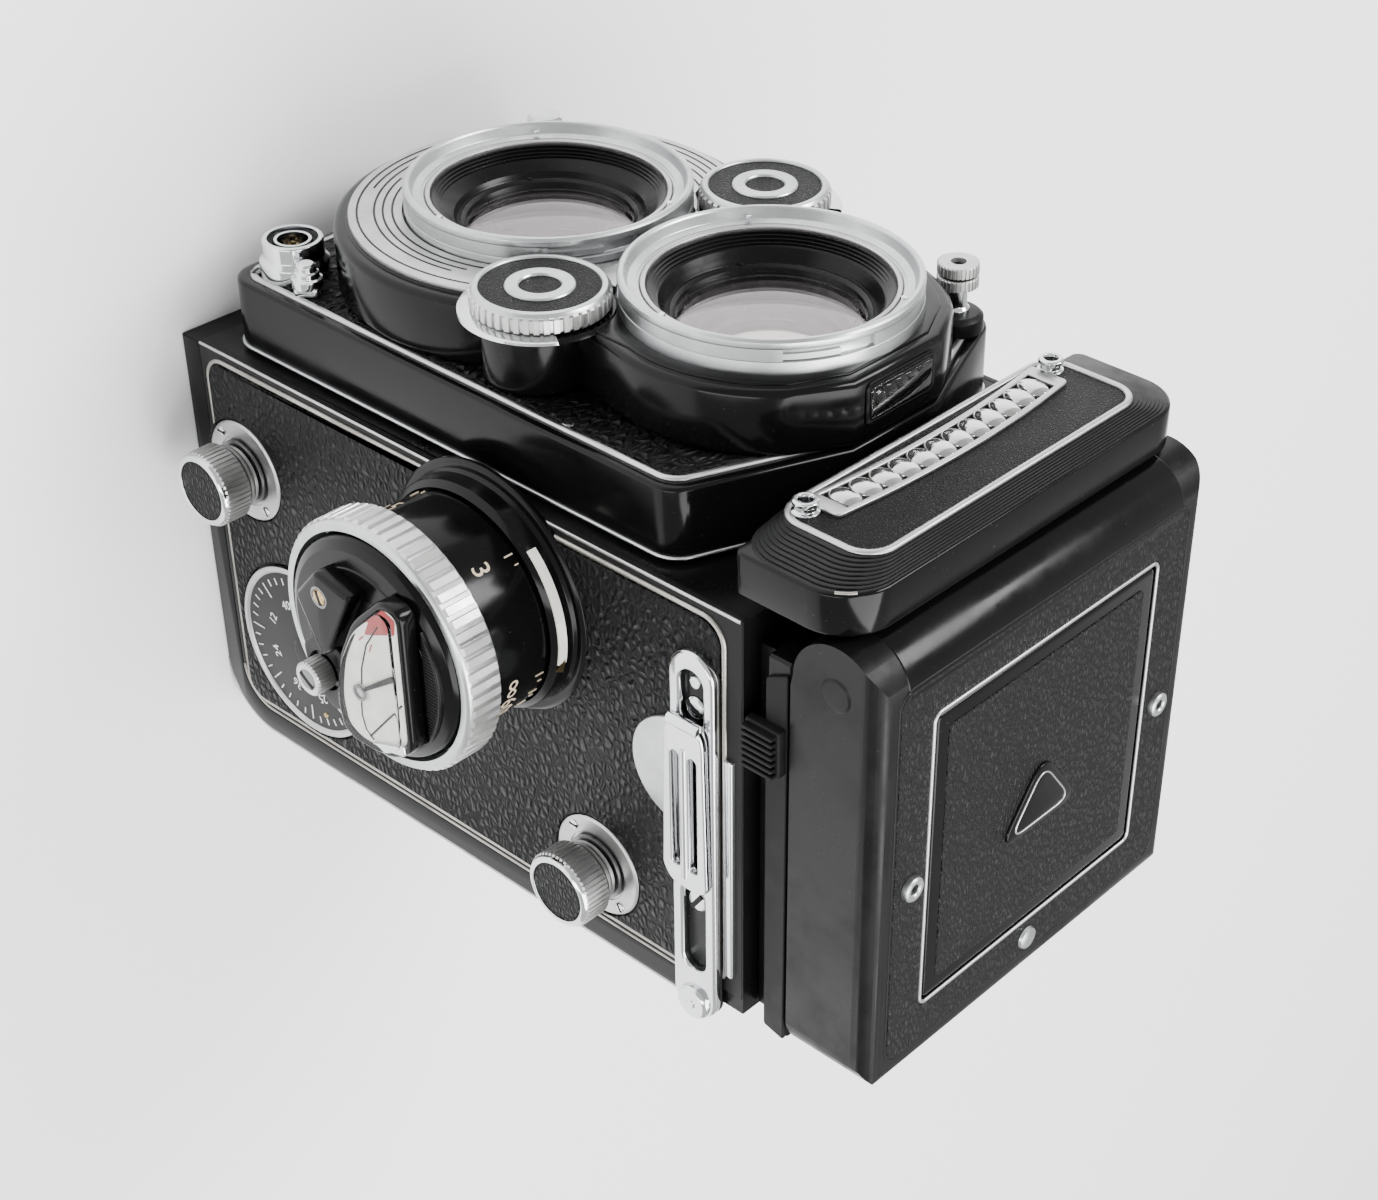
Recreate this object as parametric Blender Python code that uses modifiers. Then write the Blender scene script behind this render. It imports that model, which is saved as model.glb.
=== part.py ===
"""A twin lens reflex camera for square roll film, standing upright: +Z up, lenses facing -Y, focusing knob at +X.

Every shape is given in millimetres in the body's own axes: x = 0 midway between the side panels,
y = 0 on the front plate of the body casting, z = 0 on the surface the camera stands on.
An empty carries these axes to the world, so that the origin lies under the middle of the whole camera.
"""

import math

import bmesh
import bpy
from mathutils import Matrix, Vector

MM = 0.001
GAP = 0.3  # clearance between two pieces that touch on the real camera

# --- driving dimensions, mm -------------------------------------------------------------------
BODY_AXES = (-9.15, -22.95, 0.0)  # where the body's axes stand in the world
HALF_WIDTH = 38.0  # body casting, without its leather
LEATHER = 0.5
BODY_BACK = 68.7
BODY_FLOOR = 4.7
BODY_TOP = 121.0
DOOR_BACK = 73.4
DOOR_SKIN = 1.4
HINGE_Y, HINGE_Z = 70.8, 113.3  # back door hinge

TAKING_Z = 45.8  # taking lens axis
VIEWING_Z = 91.4  # viewing lens axis
BOARD_HALF = 35.0  # front board with its skirt
BOARD_FACE = -12.0
STANDARD_FACE = -22.6
BAYONET_FACE = -28.1
BAYONET_R = 22.0
WHEEL_X, WHEEL_Z, WHEEL_R = 23.6, 68.7, 10.2
RELEASE_X, RELEASE_Z = -27.0, 16.2

KNOB_Y, KNOB_Z = 16.0, 71.3  # focusing knob axis
RING_R = 19.8
LOWER_SPOOL = (19.8, 13.6)
UPPER_SPOOL = (57.5, 91.8)
CHAMBER_R = 13.2
ROLLER_AT = (63.0, 13.2)
CRANK_Y, CRANK_Z = 24.0, 74.0
CRANK_ARM = 27.6  # from the hub to the handle
POCKET_R = 4.2  # the handle folds into a pocket at either end of the arm's half turn
POCKET_FLOOR = 34.4
DIAL_AT = (50.2, 24.0)  # film reminder dial, (y, z)
DIAL_R = 15.5
SOCKET_Y = 40.5  # tripod socket

# outlines on the knob's end, (y, z) from its axis
CAP_TOP = 62.2
WINDOW_TOP = 66.2
WEDGE = [(-6.4, -11.3), (-12.2, -6.3), (-10.9, 1.2), (-7.4, -0.6), (0.6, -4.6), (2.4, -6.4)]
WINDOW = [
    (-13.0, 11.8), (-13.6, 7.5), (-7.2, 1.0), (0.0, -2.6), (6.9, -3.8), (12.2, -3.0), (14.0, 0.0), (13.8, 6.8),
    (10.5, 11.8),
]
WINDOW_INSIDE = [
    (-11.6, 10.4), (-12.0, 8.0), (-6.4, 2.2), (0.4, -1.2), (6.9, -2.4), (11.4, -1.7), (12.6, 0.6), (12.4, 6.4),
    (9.8, 10.4),
]
NEEDLE_PIVOT = (4.3, 1.8)
SPEED_WHEEL_AT = (7.4, -9.6)

HOOD_FLOOR = 124.0
LID_BOTTOM = 129.0
LID_TOP = 144.4
LID_HALF = 37.5
LID_BACK = 74.0
LID_PIVOT_Y, LID_PIVOT_Z = 4.5, 136.9
LID_SKIN = 1.5
FLAP_HINGE_X, FLAP_HINGE_Z = 34.0, 130.0
FLAP_REACH = 33.0
FLAP_FRONT = 13.8  # clear of the rolled end of the lid as it swings
REAR_FLAP_Y, REAR_FLAP_Z = 70.6, 132.0

CAMERA = "twin_lens_reflex_camera"


# --- scene ------------------------------------------------------------------------------------
def clear_scene():
    for obj in list(bpy.data.objects):
        bpy.data.objects.remove(obj, do_unlink=True)


clear_scene()
parts = bpy.data.collections.new(CAMERA)
cutters = bpy.data.collections.new("cutters")
bpy.context.scene.collection.children.link(parts)
bpy.context.scene.collection.children.link(cutters)
axes = bpy.data.objects.new("body_axes", None)
axes.location = Vector(BODY_AXES) * MM
parts.objects.link(axes)


def material(name, colour, metallic, roughness, alpha=1.0):
    made = bpy.data.materials.new(name)
    made.use_nodes = True
    shader = made.node_tree.nodes["Principled BSDF"]
    shader.inputs["Base Color"].default_value = (*colour, 1.0)
    shader.inputs["Metallic"].default_value = metallic
    shader.inputs["Roughness"].default_value = roughness
    shader.inputs["Alpha"].default_value = alpha
    return made


PALETTE = {
    "black_paint": ((0.012, 0.012, 0.013), 0.0, 0.25),
    "matte_black": ((0.02, 0.02, 0.021), 0.0, 0.7),
    "leather": ((0.018, 0.018, 0.019), 0.0, 0.55),
    "satin_silver": ((0.62, 0.62, 0.6), 1.0, 0.35),
    "chrome": ((0.8, 0.8, 0.8), 1.0, 0.12),
    "knurled_alloy": ((0.78, 0.78, 0.76), 1.0, 0.4),
    "lens_glass": ((0.75, 0.7, 0.78), 0.0, 0.03, 0.35),
    "mirror_glass": ((0.85, 0.87, 0.88), 1.0, 0.05),
    "cream": ((0.75, 0.73, 0.65), 0.0, 0.5),
    "needle": ((0.02, 0.02, 0.02), 0.0, 0.4),
}


# --- shape helpers: each returns an object whose mesh is in the body's axes ---------------------
def add(name, mesh, collection=parts):
    obj = bpy.data.objects.new(name, mesh)
    collection.objects.link(obj)
    obj.parent = axes
    return obj


def from_bmesh(name, bm):
    mesh = bpy.data.meshes.new(name)
    bm.to_mesh(mesh)
    bm.free()
    return add(name, mesh)


def rounded(obj, width, segments=2, angle=40.0):
    bevel = obj.modifiers.new("edge", "BEVEL")
    bevel.width = width * MM
    bevel.segments = segments
    bevel.limit_method = "ANGLE"
    bevel.angle_limit = math.radians(angle)
    return obj


def block(name, low, high, edge=0.0, segments=2):
    """A box between two corners."""
    bm = bmesh.new()
    bmesh.ops.create_cube(bm, size=1.0)
    size = [(b - a) * MM for a, b in zip(low, high)]
    middle = [(a + b) / 2 * MM for a, b in zip(low, high)]
    bmesh.ops.scale(bm, vec=size, verts=bm.verts)
    bmesh.ops.translate(bm, vec=middle, verts=bm.verts)
    obj = from_bmesh(name, bm)
    return rounded(obj, edge, segments) if edge else obj


def rod(name, start, end, radius, end_radius=None, sides=24):
    """A cylinder, or a cone, from one point to another."""
    start, end = Vector(start) * MM, Vector(end) * MM
    bm = bmesh.new()
    bmesh.ops.create_cone(
        bm,
        cap_ends=True,
        segments=sides,
        radius1=radius * MM,
        radius2=(radius if end_radius is None else end_radius) * MM,
        depth=(end - start).length,
    )
    turn = (end - start).to_track_quat("Z", "Y").to_matrix().to_4x4()
    bmesh.ops.transform(bm, matrix=Matrix.Translation((start + end) / 2) @ turn, verts=bm.verts)
    obj = from_bmesh(name, bm)
    obj.data.shade_smooth()
    obj.data.set_sharp_from_angle(angle=math.radians(40))
    return obj


AXIS_TURN = {
    "+X": Matrix(((0, 0, 1), (1, 0, 0), (0, 1, 0))).to_4x4(),
    "-Y": Matrix(((1, 0, 0), (0, 0, -1), (0, 1, 0))).to_4x4(),
    "+Z": Matrix.Identity(4),
    "-X": Matrix(((0, 0, -1), (-1, 0, 0), (0, 1, 0))).to_4x4(),
}


def turned(name, profile, centre, axis, steps=32):
    """A turned piece: (radius, height) points down its outer side and back up its bore, spun about the axis."""
    bm = bmesh.new()
    corners = [bm.verts.new((radius * MM, 0.0, height * MM)) for radius, height in profile]
    closed = profile[0][0] > 0
    for first, second in zip(corners, corners[1:] + (corners[:1] if closed else [])):
        bm.edges.new((first, second))
    obj = from_bmesh(name, bm)
    obj.matrix_local = Matrix.Translation(Vector(centre) * MM) @ AXIS_TURN[axis]
    spin = obj.modifiers.new("turn", "SCREW")
    spin.steps = steps
    spin.render_steps = steps
    spin.use_merge_vertices = True
    spin.merge_threshold = 0.00001
    return obj


def slab(name, outlines, low, high, normal, edge=0.0, segments=2):
    """A flat piece: its outer outline, then any holes, extruded from low to high along X, Y or Z.

    Outline points are (y, z) for X, (x, z) for Y and (x, y) for Z.
    """
    curve = bpy.data.curves.new(name, "CURVE")
    curve.dimensions = "2D"
    curve.fill_mode = "BOTH"
    curve.extrude = (high - low) / 2 * MM
    for outline in outlines:
        spline = curve.splines.new("POLY")
        spline.points.add(len(outline) - 1)
        for point, (a, b) in zip(spline.points, outline):
            point.co = (a * MM, b * MM, 0.0, 1.0)
        spline.use_cyclic_u = True
    flat = add(name + "_outline", curve)
    bpy.context.view_layer.update()
    graph = bpy.context.evaluated_depsgraph_get()
    mesh = bpy.data.meshes.new_from_object(flat.evaluated_get(graph))
    bpy.data.objects.remove(flat)
    turn = {
        "X": Matrix(((0, 0, 1), (1, 0, 0), (0, 1, 0))),
        "Y": Matrix(((1, 0, 0), (0, 0, -1), (0, 1, 0))),
        "Z": Matrix.Identity(3),
    }[normal].to_4x4()
    shift = Vector([(low + high) / 2 * MM if axis == normal else 0.0 for axis in "XYZ"])
    mesh.transform(Matrix.Translation(shift) @ turn)
    bm = bmesh.new()
    bm.from_mesh(mesh)
    bmesh.ops.remove_doubles(bm, verts=bm.verts, dist=0.000001)
    bmesh.ops.recalc_face_normals(bm, faces=bm.faces)
    bm.to_mesh(mesh)
    bm.free()
    mesh.name = name
    obj = add(name, mesh)
    mesh.shade_smooth()
    mesh.set_sharp_from_angle(angle=math.radians(35))
    return rounded(obj, edge, segments) if edge else obj


def circle(centre, radius, count=32, start=0.0, sweep=360.0):
    """Points round a circle, or along an arc of it, anticlockwise."""
    whole = abs(sweep) >= 360.0
    steps = count if whole else count - 1
    angles = [math.radians(start + sweep * i / steps) for i in range(count)]
    return [(centre[0] + radius * math.cos(a), centre[1] + radius * math.sin(a)) for a in angles]


def corner_arc(corner, radius, start, count=5):
    """A rounded corner's points; start is the direction in degrees from its centre to its first point."""
    return circle(corner, radius, count, start, 90.0)


def rounded_rectangle(low, high, radius, count=5):
    (x0, y0), (x1, y1) = low, high
    r = radius
    return (
        corner_arc((x1 - r, y1 - r), r, 0, count)
        + corner_arc((x0 + r, y1 - r), r, 90, count)
        + corner_arc((x0 + r, y0 + r), r, 180, count)
        + corner_arc((x1 - r, y0 + r), r, 270, count)
    )


def as_helper(obj):
    """Moves an object to the cutters, where it only shapes other pieces."""
    parts.objects.unlink(obj)
    cutters.objects.link(obj)
    obj.hide_render = True
    obj.display_type = "WIRE"
    return obj


def shape_with(obj, other, operation):
    as_helper(other)
    change = obj.modifiers.new(other.name, "BOOLEAN")
    change.operation = operation
    change.object = other
    change.solver = "EXACT"
    return obj


def cut(obj, *others):
    for other in others:
        shape_with(obj, other, "DIFFERENCE")
    return obj


def join(obj, *others):
    for other in others:
        shape_with(obj, other, "UNION")
    return obj


def finish(obj, paint, pivot=None):
    """Gives a piece its paint, and puts its origin on its joint's axis."""
    if paint not in bpy.data.materials:
        material(paint, *PALETTE[paint])
    obj.data.materials.clear()
    obj.data.materials.append(bpy.data.materials[paint])
    if pivot is not None:
        offset = Vector(pivot) * MM - obj.location
        turn = obj.matrix_local.to_3x3().inverted()
        obj.data.transform(Matrix.Translation(turn @ -offset))
        obj.location = obj.location + offset
    return obj


# --- body casting and its coverings ------------------------------------------------------------
def side_profile():
    """The casting seen from the knob side, (y, z): rounded at the lower back, notched for the hinge."""
    heel = 7.0
    return (
        [(0.0, BODY_FLOOR), (BODY_BACK - heel, BODY_FLOOR)]
        + circle((BODY_BACK - heel, BODY_FLOOR + heel), heel, 6, 270.0, 90.0)[1:]
        + [(BODY_BACK, 109.5), (67.6, 109.5), (67.6, 116.5), (70.4, 116.5)]
        + [(70.4, BODY_TOP), (0.0, BODY_TOP)]
    )


def crank_pockets():
    """Where the folded crank's handle goes, (y, z)."""
    return [(CRANK_Y, CRANK_Z + way * CRANK_ARM) for way in (1, -1)]


def make_casting():
    casting = slab("body_casting", [side_profile()], -HALF_WIDTH, HALF_WIDTH, "X")
    inner = 28.5
    finder_well = [(4.0, 72.6), (18.6, 72.6), (64.5, 118.5), (64.5, 125.0)]
    finder_well += [(8.0, 125.0), (8.0, 112.0), (4.0, 112.0)]
    y_low, z_low = LOWER_SPOOL
    y_up, z_up = UPPER_SPOOL
    r = CHAMBER_R
    upper_room = [(75.0, z_up - r), (75.0, z_up + r)] + circle(UPPER_SPOOL, r, 13, 90.0, 180.0)
    lower_room = circle(LOWER_SPOOL, r, 17, -46.0, 226.0)
    lower_room += [(y_low - r, -1.0), (lower_room[0][0], -1.0)]
    roller_room = [(75.0, 9.9), (75.0, 16.5)] + circle(ROLLER_AT, 3.3, 9, 90.0, 180.0)
    cut(
        casting,
        slab("finder_well", [finder_well], -inner, inner, "X"),
        rod("taking_hole", (0, -1, TAKING_Z), (0, 6, TAKING_Z), 24.7, sides=28),
        rod("viewing_hole", (0, -1, VIEWING_Z), (0, 6, VIEWING_Z), 19.6, sides=24),
        block("film_gate", (-inner, 44.0, TAKING_Z - inner), (inner, 75.0, TAKING_Z + inner)),
        block("bellows_room", (-16.0, 3.0, TAKING_Z - 16.0), (16.0, 50.0, TAKING_Z + 16.0)),
        slab("upper_chamber", [upper_room], -32, 32, "X"),
        slab("lower_chamber", [lower_room], -32, 32, "X"),
        slab("roller_groove", [roller_room], -30.8, 30.8, "X"),
        block("film_slot", (-31.0, y_low + r - 1.5, 10.3), (31.0, ROLLER_AT[0] - 2.0, 12.5)),
    )
    for name, (y, z) in (("lower", LOWER_SPOOL), ("upper", UPPER_SPOOL)):
        cut(casting, rod(name + "_spool_hole", (30.0, y, z), (40.0, y, z), 3.4, sides=20))
    cut(casting, rod("socket_seat", (0, SOCKET_Y, 0.0), (0, SOCKET_Y, 7.0), 11.2, sides=24))
    for i, stored in enumerate(crank_pockets()):
        cut(casting, rod(f"handle_pocket_{i}", (-POCKET_FLOOR, *stored), (-45.0, *stored), POCKET_R, sides=20))
    return finish(casting, "matte_black")


def make_leather_panels():
    out = HALF_WIDTH + GAP
    outline = rounded_rectangle((1.9, 6.4), (66.8, 108.2), 3.0, 4)
    knob = slab("knob_side_leather", [outline], out, out + LEATHER, "X")
    cut(
        knob,
        rod("knob_opening", (30, KNOB_Y, KNOB_Z), (45, KNOB_Y, KNOB_Z), 18.9, sides=28),
        rod("dial_opening", (30, *DIAL_AT), (45, *DIAL_AT), DIAL_R + 0.4, sides=24),
        rod("lower_opening", (30, *LOWER_SPOOL), (45, *LOWER_SPOOL), 9.0, sides=16),
        rod("upper_opening", (30, *UPPER_SPOOL), (45, *UPPER_SPOOL), 9.0, sides=16),
    )
    finish(knob, "leather")
    crank = slab("crank_side_leather", [outline], -out - LEATHER, -out, "X")
    cut(crank, rod("crank_opening", (-30, CRANK_Y, CRANK_Z), (-45, CRANK_Y, CRANK_Z), 6.4, sides=28))
    for i, stored in enumerate(crank_pockets()):
        cut(crank, rod(f"pocket_opening_{i}", (-30, *stored), (-45, *stored), POCKET_R + 0.5, sides=20))
    finish(crank, "leather")


def make_inner_optics():
    mirror_low, mirror_high = (17.6, 73.9), (61.0, 117.3)
    thickness = 1.0
    shift = 0.9
    mirror = [
        (mirror_low[0] - shift + thickness, mirror_low[1] + shift - thickness),
        (mirror_high[0] - shift + thickness, mirror_high[1] + shift - thickness),
        (mirror_high[0] - shift, mirror_high[1] + shift),
        (mirror_low[0] - shift, mirror_low[1] + shift),
    ]
    finish(slab("reflex_mirror", [mirror], -27.5, 27.5, "X"), "mirror_glass")
    low = BODY_TOP + GAP
    screen = block("focusing_screen", (-29.5, 6.5, low), (29.5, 66.0, low + 1.6), 0.3, 1)
    finish(screen, "lens_glass")


# --- moving front: board, standard and lenses ---------------------------------------------------
def board_outline(inset=0.0):
    """The front board, (x, z): rounded lower corners, and a top that rises to a flat over the viewing lens."""
    half, low, shoulder, peak, flat = BOARD_HALF - inset, 9.2 + inset, 106.5 - inset, 115.4 - inset, 9.4
    r = 5.0
    right = corner_arc((half - r, low + r), r, 270)
    right += circle((half - r, shoulder - r), r, 5, 0.0, 72.0) + [(flat, peak)]
    return right + [(-x, z) for x, z in reversed(right)]


def make_front_board():
    board = slab("front_board", [board_outline()], BOARD_FACE, -GAP, "Y", 0.5, 1)
    cut(
        board,
        slab("board_hollow", [board_outline(2.0)], BOARD_FACE + 2.0, 5.0, "Y"),
        rod("taking_port", (0, -20, TAKING_Z), (0, 0, TAKING_Z), 24.4, sides=28),
        rod("viewing_port", (0, -20, VIEWING_Z), (0, 0, VIEWING_Z), 18.0, sides=24),
        rod("release_port", (RELEASE_X, -20, RELEASE_Z), (RELEASE_X, 0, RELEASE_Z), 1.7, sides=10),
    )
    finish(board, "black_paint")


def make_light_shield():
    shield = slab("light_shield_box", [board_outline(2.5)], -9.3, -GAP, "Y")
    cut(
        shield,
        slab("shield_hollow", [board_outline(4.1)], -12.0, 5.0, "Y"),
    )
    finish(shield, "matte_black")


def standard_outline(grow=0.0):
    """The lens standard seen from the front: a large disc, a smaller one above it and shoulders for the wheels."""
    big, small = 32.8 + grow, 26.2 + grow
    waist_z = 72.5
    lower = math.degrees(math.atan2(waist_z - TAKING_Z - 9.0, 27.5))
    right = circle((0.0, TAKING_Z), big, 15, -90.0, 90.0 + lower)
    right += circle((WHEEL_X, WHEEL_Z - 1.0), 8.6 + grow, 6, -20.0, 110.0)
    right += circle((0.0, VIEWING_Z), small, 9, -12.0, 60.0)
    right += [(9.4 + grow * 0.5, 115.4 + grow)]
    return right + [(-x, z) for x, z in reversed(right[1:])]


def make_standard():
    front = STANDARD_FACE
    standard = slab("lens_standard", [standard_outline()], front, BOARD_FACE - GAP, "Y", 1.2, 1)
    cut(
        standard,
        rod("taking_bore", (0, -30, TAKING_Z), (0, 0, TAKING_Z), 21.3, sides=28),
        rod("viewing_bore", (0, -30, VIEWING_Z), (0, 0, VIEWING_Z), 21.3, sides=28),
        block("value_window", (-7.0, -21.0, 113.5), (7.0, -15.0, 117.0)),
    )
    low, high = front - GAP - 0.7, front - GAP
    neck = [(-14, 60), (14, 60), (17, 88), (-17, 88)]
    plate = slab("lens_face_plate", [circle((0, TAKING_Z), 30.4, 32)], low, high, "Y")
    join(plate, slab("plate_neck", [neck], low, high, "Y"))
    for name, z in (("taking", TAKING_Z), ("viewing", VIEWING_Z)):
        cut(plate, rod(f"plate_{name}_hole", (0, -30, z), (0, 0, z), BAYONET_R + 0.35, sides=28))
    for side in (-1, 1):
        x = side * WHEEL_X
        seat = WHEEL_R + 0.5
        cut(standard, rod(f"wheel_seat_{side}", (x, -30, WHEEL_Z), (x, -21.6, WHEEL_Z), seat, sides=20))
        cut(standard, rod(f"wheel_bore_{side}", (x, -30, WHEEL_Z), (x, -13.5, WHEEL_Z), 2.6, sides=10))
        cut(plate, rod(f"plate_wheel_cut_{side}", (x, -30, WHEEL_Z), (x, 0, WHEEL_Z), seat, sides=20))
    finish(standard, "black_paint")
    finish(plate, "satin_silver")


def make_lens(name, z, glass_r):
    """A bayonet ring, the blackened barrel in it and the front glass, all on one lens axis."""
    depth = -BAYONET_FACE
    seat = -STANDARD_FACE
    ring = [
        (BAYONET_R, depth),
        (BAYONET_R, seat + GAP),
        (21.0, seat + GAP),
        (21.0, seat - 2.0),
        (18.6, seat - 2.0),
        (18.6, depth - 2.2),
        (20.6, depth),
    ]
    finish(turned(f"{name}_bayonet_ring", ring, (0, 0, z), "-Y", 32), "satin_silver")
    barrel = [
        (18.2, depth - 1.8),
        (18.2, seat - 8.0),
        (glass_r - 1.0, seat - 8.0),
        (glass_r - 1.0, depth - 9.0),
        (glass_r + 1.2, depth - 7.0),
        (15.6, depth - 3.6),
        (16.6, depth - 1.8),
    ]
    finish(turned(f"{name}_lens_barrel", barrel, (0, 0, z), "-Y", 24), "black_paint")
    rim = depth - 7.0
    crown = [(0.0, rim + 0.9), (glass_r * 0.5, rim + 0.65), (glass_r * 0.9, rim)]
    glass = crown + [(glass_r * 0.9, rim - 0.8), (glass_r * 0.86, rim - 1.6), (0.0, rim - 1.6)]
    finish(turned(f"{name}_front_glass", glass, (0, 0, z), "-Y", 20), "lens_glass")


def make_shutter():
    block_profile = [(0.0, 13.6), (20.6, 13.6), (20.6, 11.9 + GAP), (23.8, 11.9), (23.8, -1.2)]
    block_profile += [(12.0, -2.2), (9.5, -7.0), (0.0, -7.0)]
    finish(turned("shutter_block", block_profile, (0, 0, TAKING_Z), "-Y", 24), "matte_black")


def make_wheel(name, side):
    """A thin knurled wheel with a shaft into the standard."""
    x = side * WHEEL_X
    profile = [
        (0.0, 26.6),
        (8.9, 26.6),
        (WHEEL_R, 26.0),
        (WHEEL_R, 23.2),
        (9.0, 22.2),
        (2.3, 22.2),
        (2.3, 14.0),
        (0.0, 14.0),
    ]
    finish(turned(name, profile, (x, 0, WHEEL_Z), "-Y", 24), "satin_silver")


def make_front_controls():
    release = [(0.0, 21.6), (2.6, 21.6), (3.0, 21.0), (3.0, 18.2), (1.3, 18.2), (1.3, 9.8), (0.0, 9.8)]
    finish(turned("release_button", release, (RELEASE_X, 0, RELEASE_Z), "-Y", 12), "chrome")

    socket_at = (27.2, 0, 17.2)
    socket = [(4.6, 18.2), (4.6, 15.4), (5.4, 14.8), (5.4, 12.3), (2.9, 12.3), (2.9, 18.2)]
    finish(turned("sync_socket", socket, socket_at, "-Y", 16), "chrome")
    lever = slab(
        "socket_lock_lever",
        [circle((30.6, 24.4), 2.6, 16)],
        BOARD_FACE - GAP - 3.6,
        BOARD_FACE - GAP,
        "Y",
        0.3,
        1,
    )
    join(lever, rod("lock_stud", (30.6, -14.0, 24.4), (30.6, -17.6, 24.4), 1.5, sides=16))
    finish(lever, "chrome", (30.6, BOARD_FACE, 24.4))

    pivot = (-28.4, 0.0, 103.0)
    post = [(0.0, 23.2), (2.9, 23.2), (3.2, 22.8), (3.2, 19.4), (1.6, 19.0), (1.6, 15.6)]
    post += [(4.3, 15.2), (4.3, 12.3), (0.0, 12.3)]
    finish(turned("self_timer_lever", post, pivot, "-Y", 12), "chrome")


# --- knob side: focusing knob, meter read-out, spool knobs, dial --------------------------------
def make_focus_knob():
    centre = (0, KNOB_Y, KNOB_Z)
    out = HALF_WIDTH + GAP
    base = [(17.2, 43.2), (18.3, 42.6), (18.5, out), (12.0, out), (12.0, 41.6), (16.9, 41.6)]
    finish(turned("focus_index_ring", base, centre, "+X", 28), "black_paint")
    drum = [(17.0, 54.2), (17.0, 43.6), (16.4, 43.6), (16.4, 42.0), (14.0, 42.0), (14.0, 54.2)]
    finish(turned("focus_scale_drum", drum, centre, "+X", 28), "black_paint")
    ring = [(RING_R - 0.5, 60.6), (RING_R, 60.1), (RING_R, 55.0), (RING_R - 0.5, 54.5)]
    ring += [(14.0, 54.5), (14.0, 57.0), (17.8, 57.0), (17.8, 60.6)]
    finish(turned("focus_knurled_ring", ring, centre, "+X", 32), "knurled_alloy")
    housing = [
        (0.0, CAP_TOP),
        (15.9, CAP_TOP),
        (17.4, CAP_TOP - 1.2),
        (17.4, 57.6),
        (13.6, 57.6),
        (11.6, 54.0),
        (11.6, out),
        (0.0, out),
    ]
    cap = turned("meter_knob_housing", housing, centre, "+X", 28)
    join(cap, slab("wedge", [around_knob(WEDGE)], CAP_TOP - 1.0, 65.0, "X"))
    cut(cap, slab("needle_pocket", [around_knob(WINDOW_INSIDE)], 60.4, 63.0, "X"))
    finish(cap, "black_paint")


def around_knob(outline):
    return [(KNOB_Y + y, KNOB_Z + z) for y, z in outline]


def make_meter_readout():
    """The exposure meter's needle and window in the end of the focusing knob."""
    window = slab("meter_window", [around_knob(WINDOW)], CAP_TOP + GAP, WINDOW_TOP, "X", 1.2, 1)
    cut(window, slab("window_hollow", [around_knob(WINDOW_INSIDE)], 60.0, WINDOW_TOP - 1.2, "X"))
    finish(window, "lens_glass")
    py, pz = NEEDLE_PIVOT
    pointer = [(py + 1.2, pz - 1.4), (py - 5.0, pz + 7.0), (py - 5.4, pz + 6.7)]
    hub = (KNOB_Y + py, KNOB_Z + pz)
    needle = slab("meter_needle", [around_knob(pointer)], 61.4, 61.8, "X")
    join(needle, rod("needle_hub", (61.2, *hub), (CAP_TOP, *hub), 1.0, sides=10))
    finish(needle, "needle", (61.6, *hub))


def make_film_speed_wheel():
    at = (0, KNOB_Y + SPEED_WHEEL_AT[0], KNOB_Z + SPEED_WHEEL_AT[1])
    profile = [(0.0, 66.0), (2.2, 66.0), (2.7, 65.6), (2.7, CAP_TOP + GAP), (0.0, CAP_TOP + GAP)]
    finish(turned("film_speed_wheel", profile, at, "+X", 14), "satin_silver")


def make_reminder_dial():
    out = HALF_WIDTH + GAP
    profile = [(0.0, out + 1.0), (DIAL_R - 0.8, out + 1.0), (DIAL_R, out + 0.6), (DIAL_R, out), (0.0, out)]
    finish(turned("film_reminder_dial", profile, (0, *DIAL_AT), "+X", 28), "matte_black")


def make_spool_knob(name, at):
    """A pull-out spool pin and the knurled knob that turns on it."""
    centre = (0, *at)
    out = HALF_WIDTH
    shaft = [(0.0, out + 1.6), (5.6, out + 1.6), (5.6, out + 0.4), (3.1, out + 0.4)]
    shaft += [(3.1, 31.0), (1.8, 29.6), (0.0, 29.6)]
    finish(turned(f"{name}_spool_pin", shaft, centre, "+X", 12), "chrome")
    knob = [(0.0, out + 9.6), (5.3, out + 9.6), (6.3, out + 9.0), (6.3, out + 3.8)]
    knob += [(4.6, out + 3.4), (4.6, out + 1.9), (0.0, out + 1.9)]
    finish(turned(f"{name}_spool_knob", knob, centre, "+X", 20), "satin_silver")


def make_strap_rail(name, side):
    """A long screwed frame near the top of each side, for the strap clip; its rear bolt is the door's pivot."""
    low, high = sorted((side * (HALF_WIDTH + GAP), side * (HALF_WIDTH + 2.3)))
    outer = rounded_rectangle((7.5, 109.0), (73.8, 117.4), 4.1, 6)
    front_slot = rounded_rectangle((11.0, 111.3), (19.2, 115.1), 1.8, 4)
    rear_slot = rounded_rectangle((49.0, 111.3), (64.0, 115.1), 1.8, 4)
    rail = slab(name, [outer, front_slot, rear_slot], low, high, "X")
    for part, start, end, radius in (("bolt", -4.0, 3.2, 1.3), ("bolt_head", 1.0, 3.4, 3.0)):
        start = (side * (HALF_WIDTH + start), HINGE_Y, HINGE_Z)
        end = (side * (HALF_WIDTH + end), HINGE_Y, HINGE_Z)
        join(rail, rod(f"{name}_{part}", start, end, radius, sides=12))
    finish(rail, "chrome")


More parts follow.
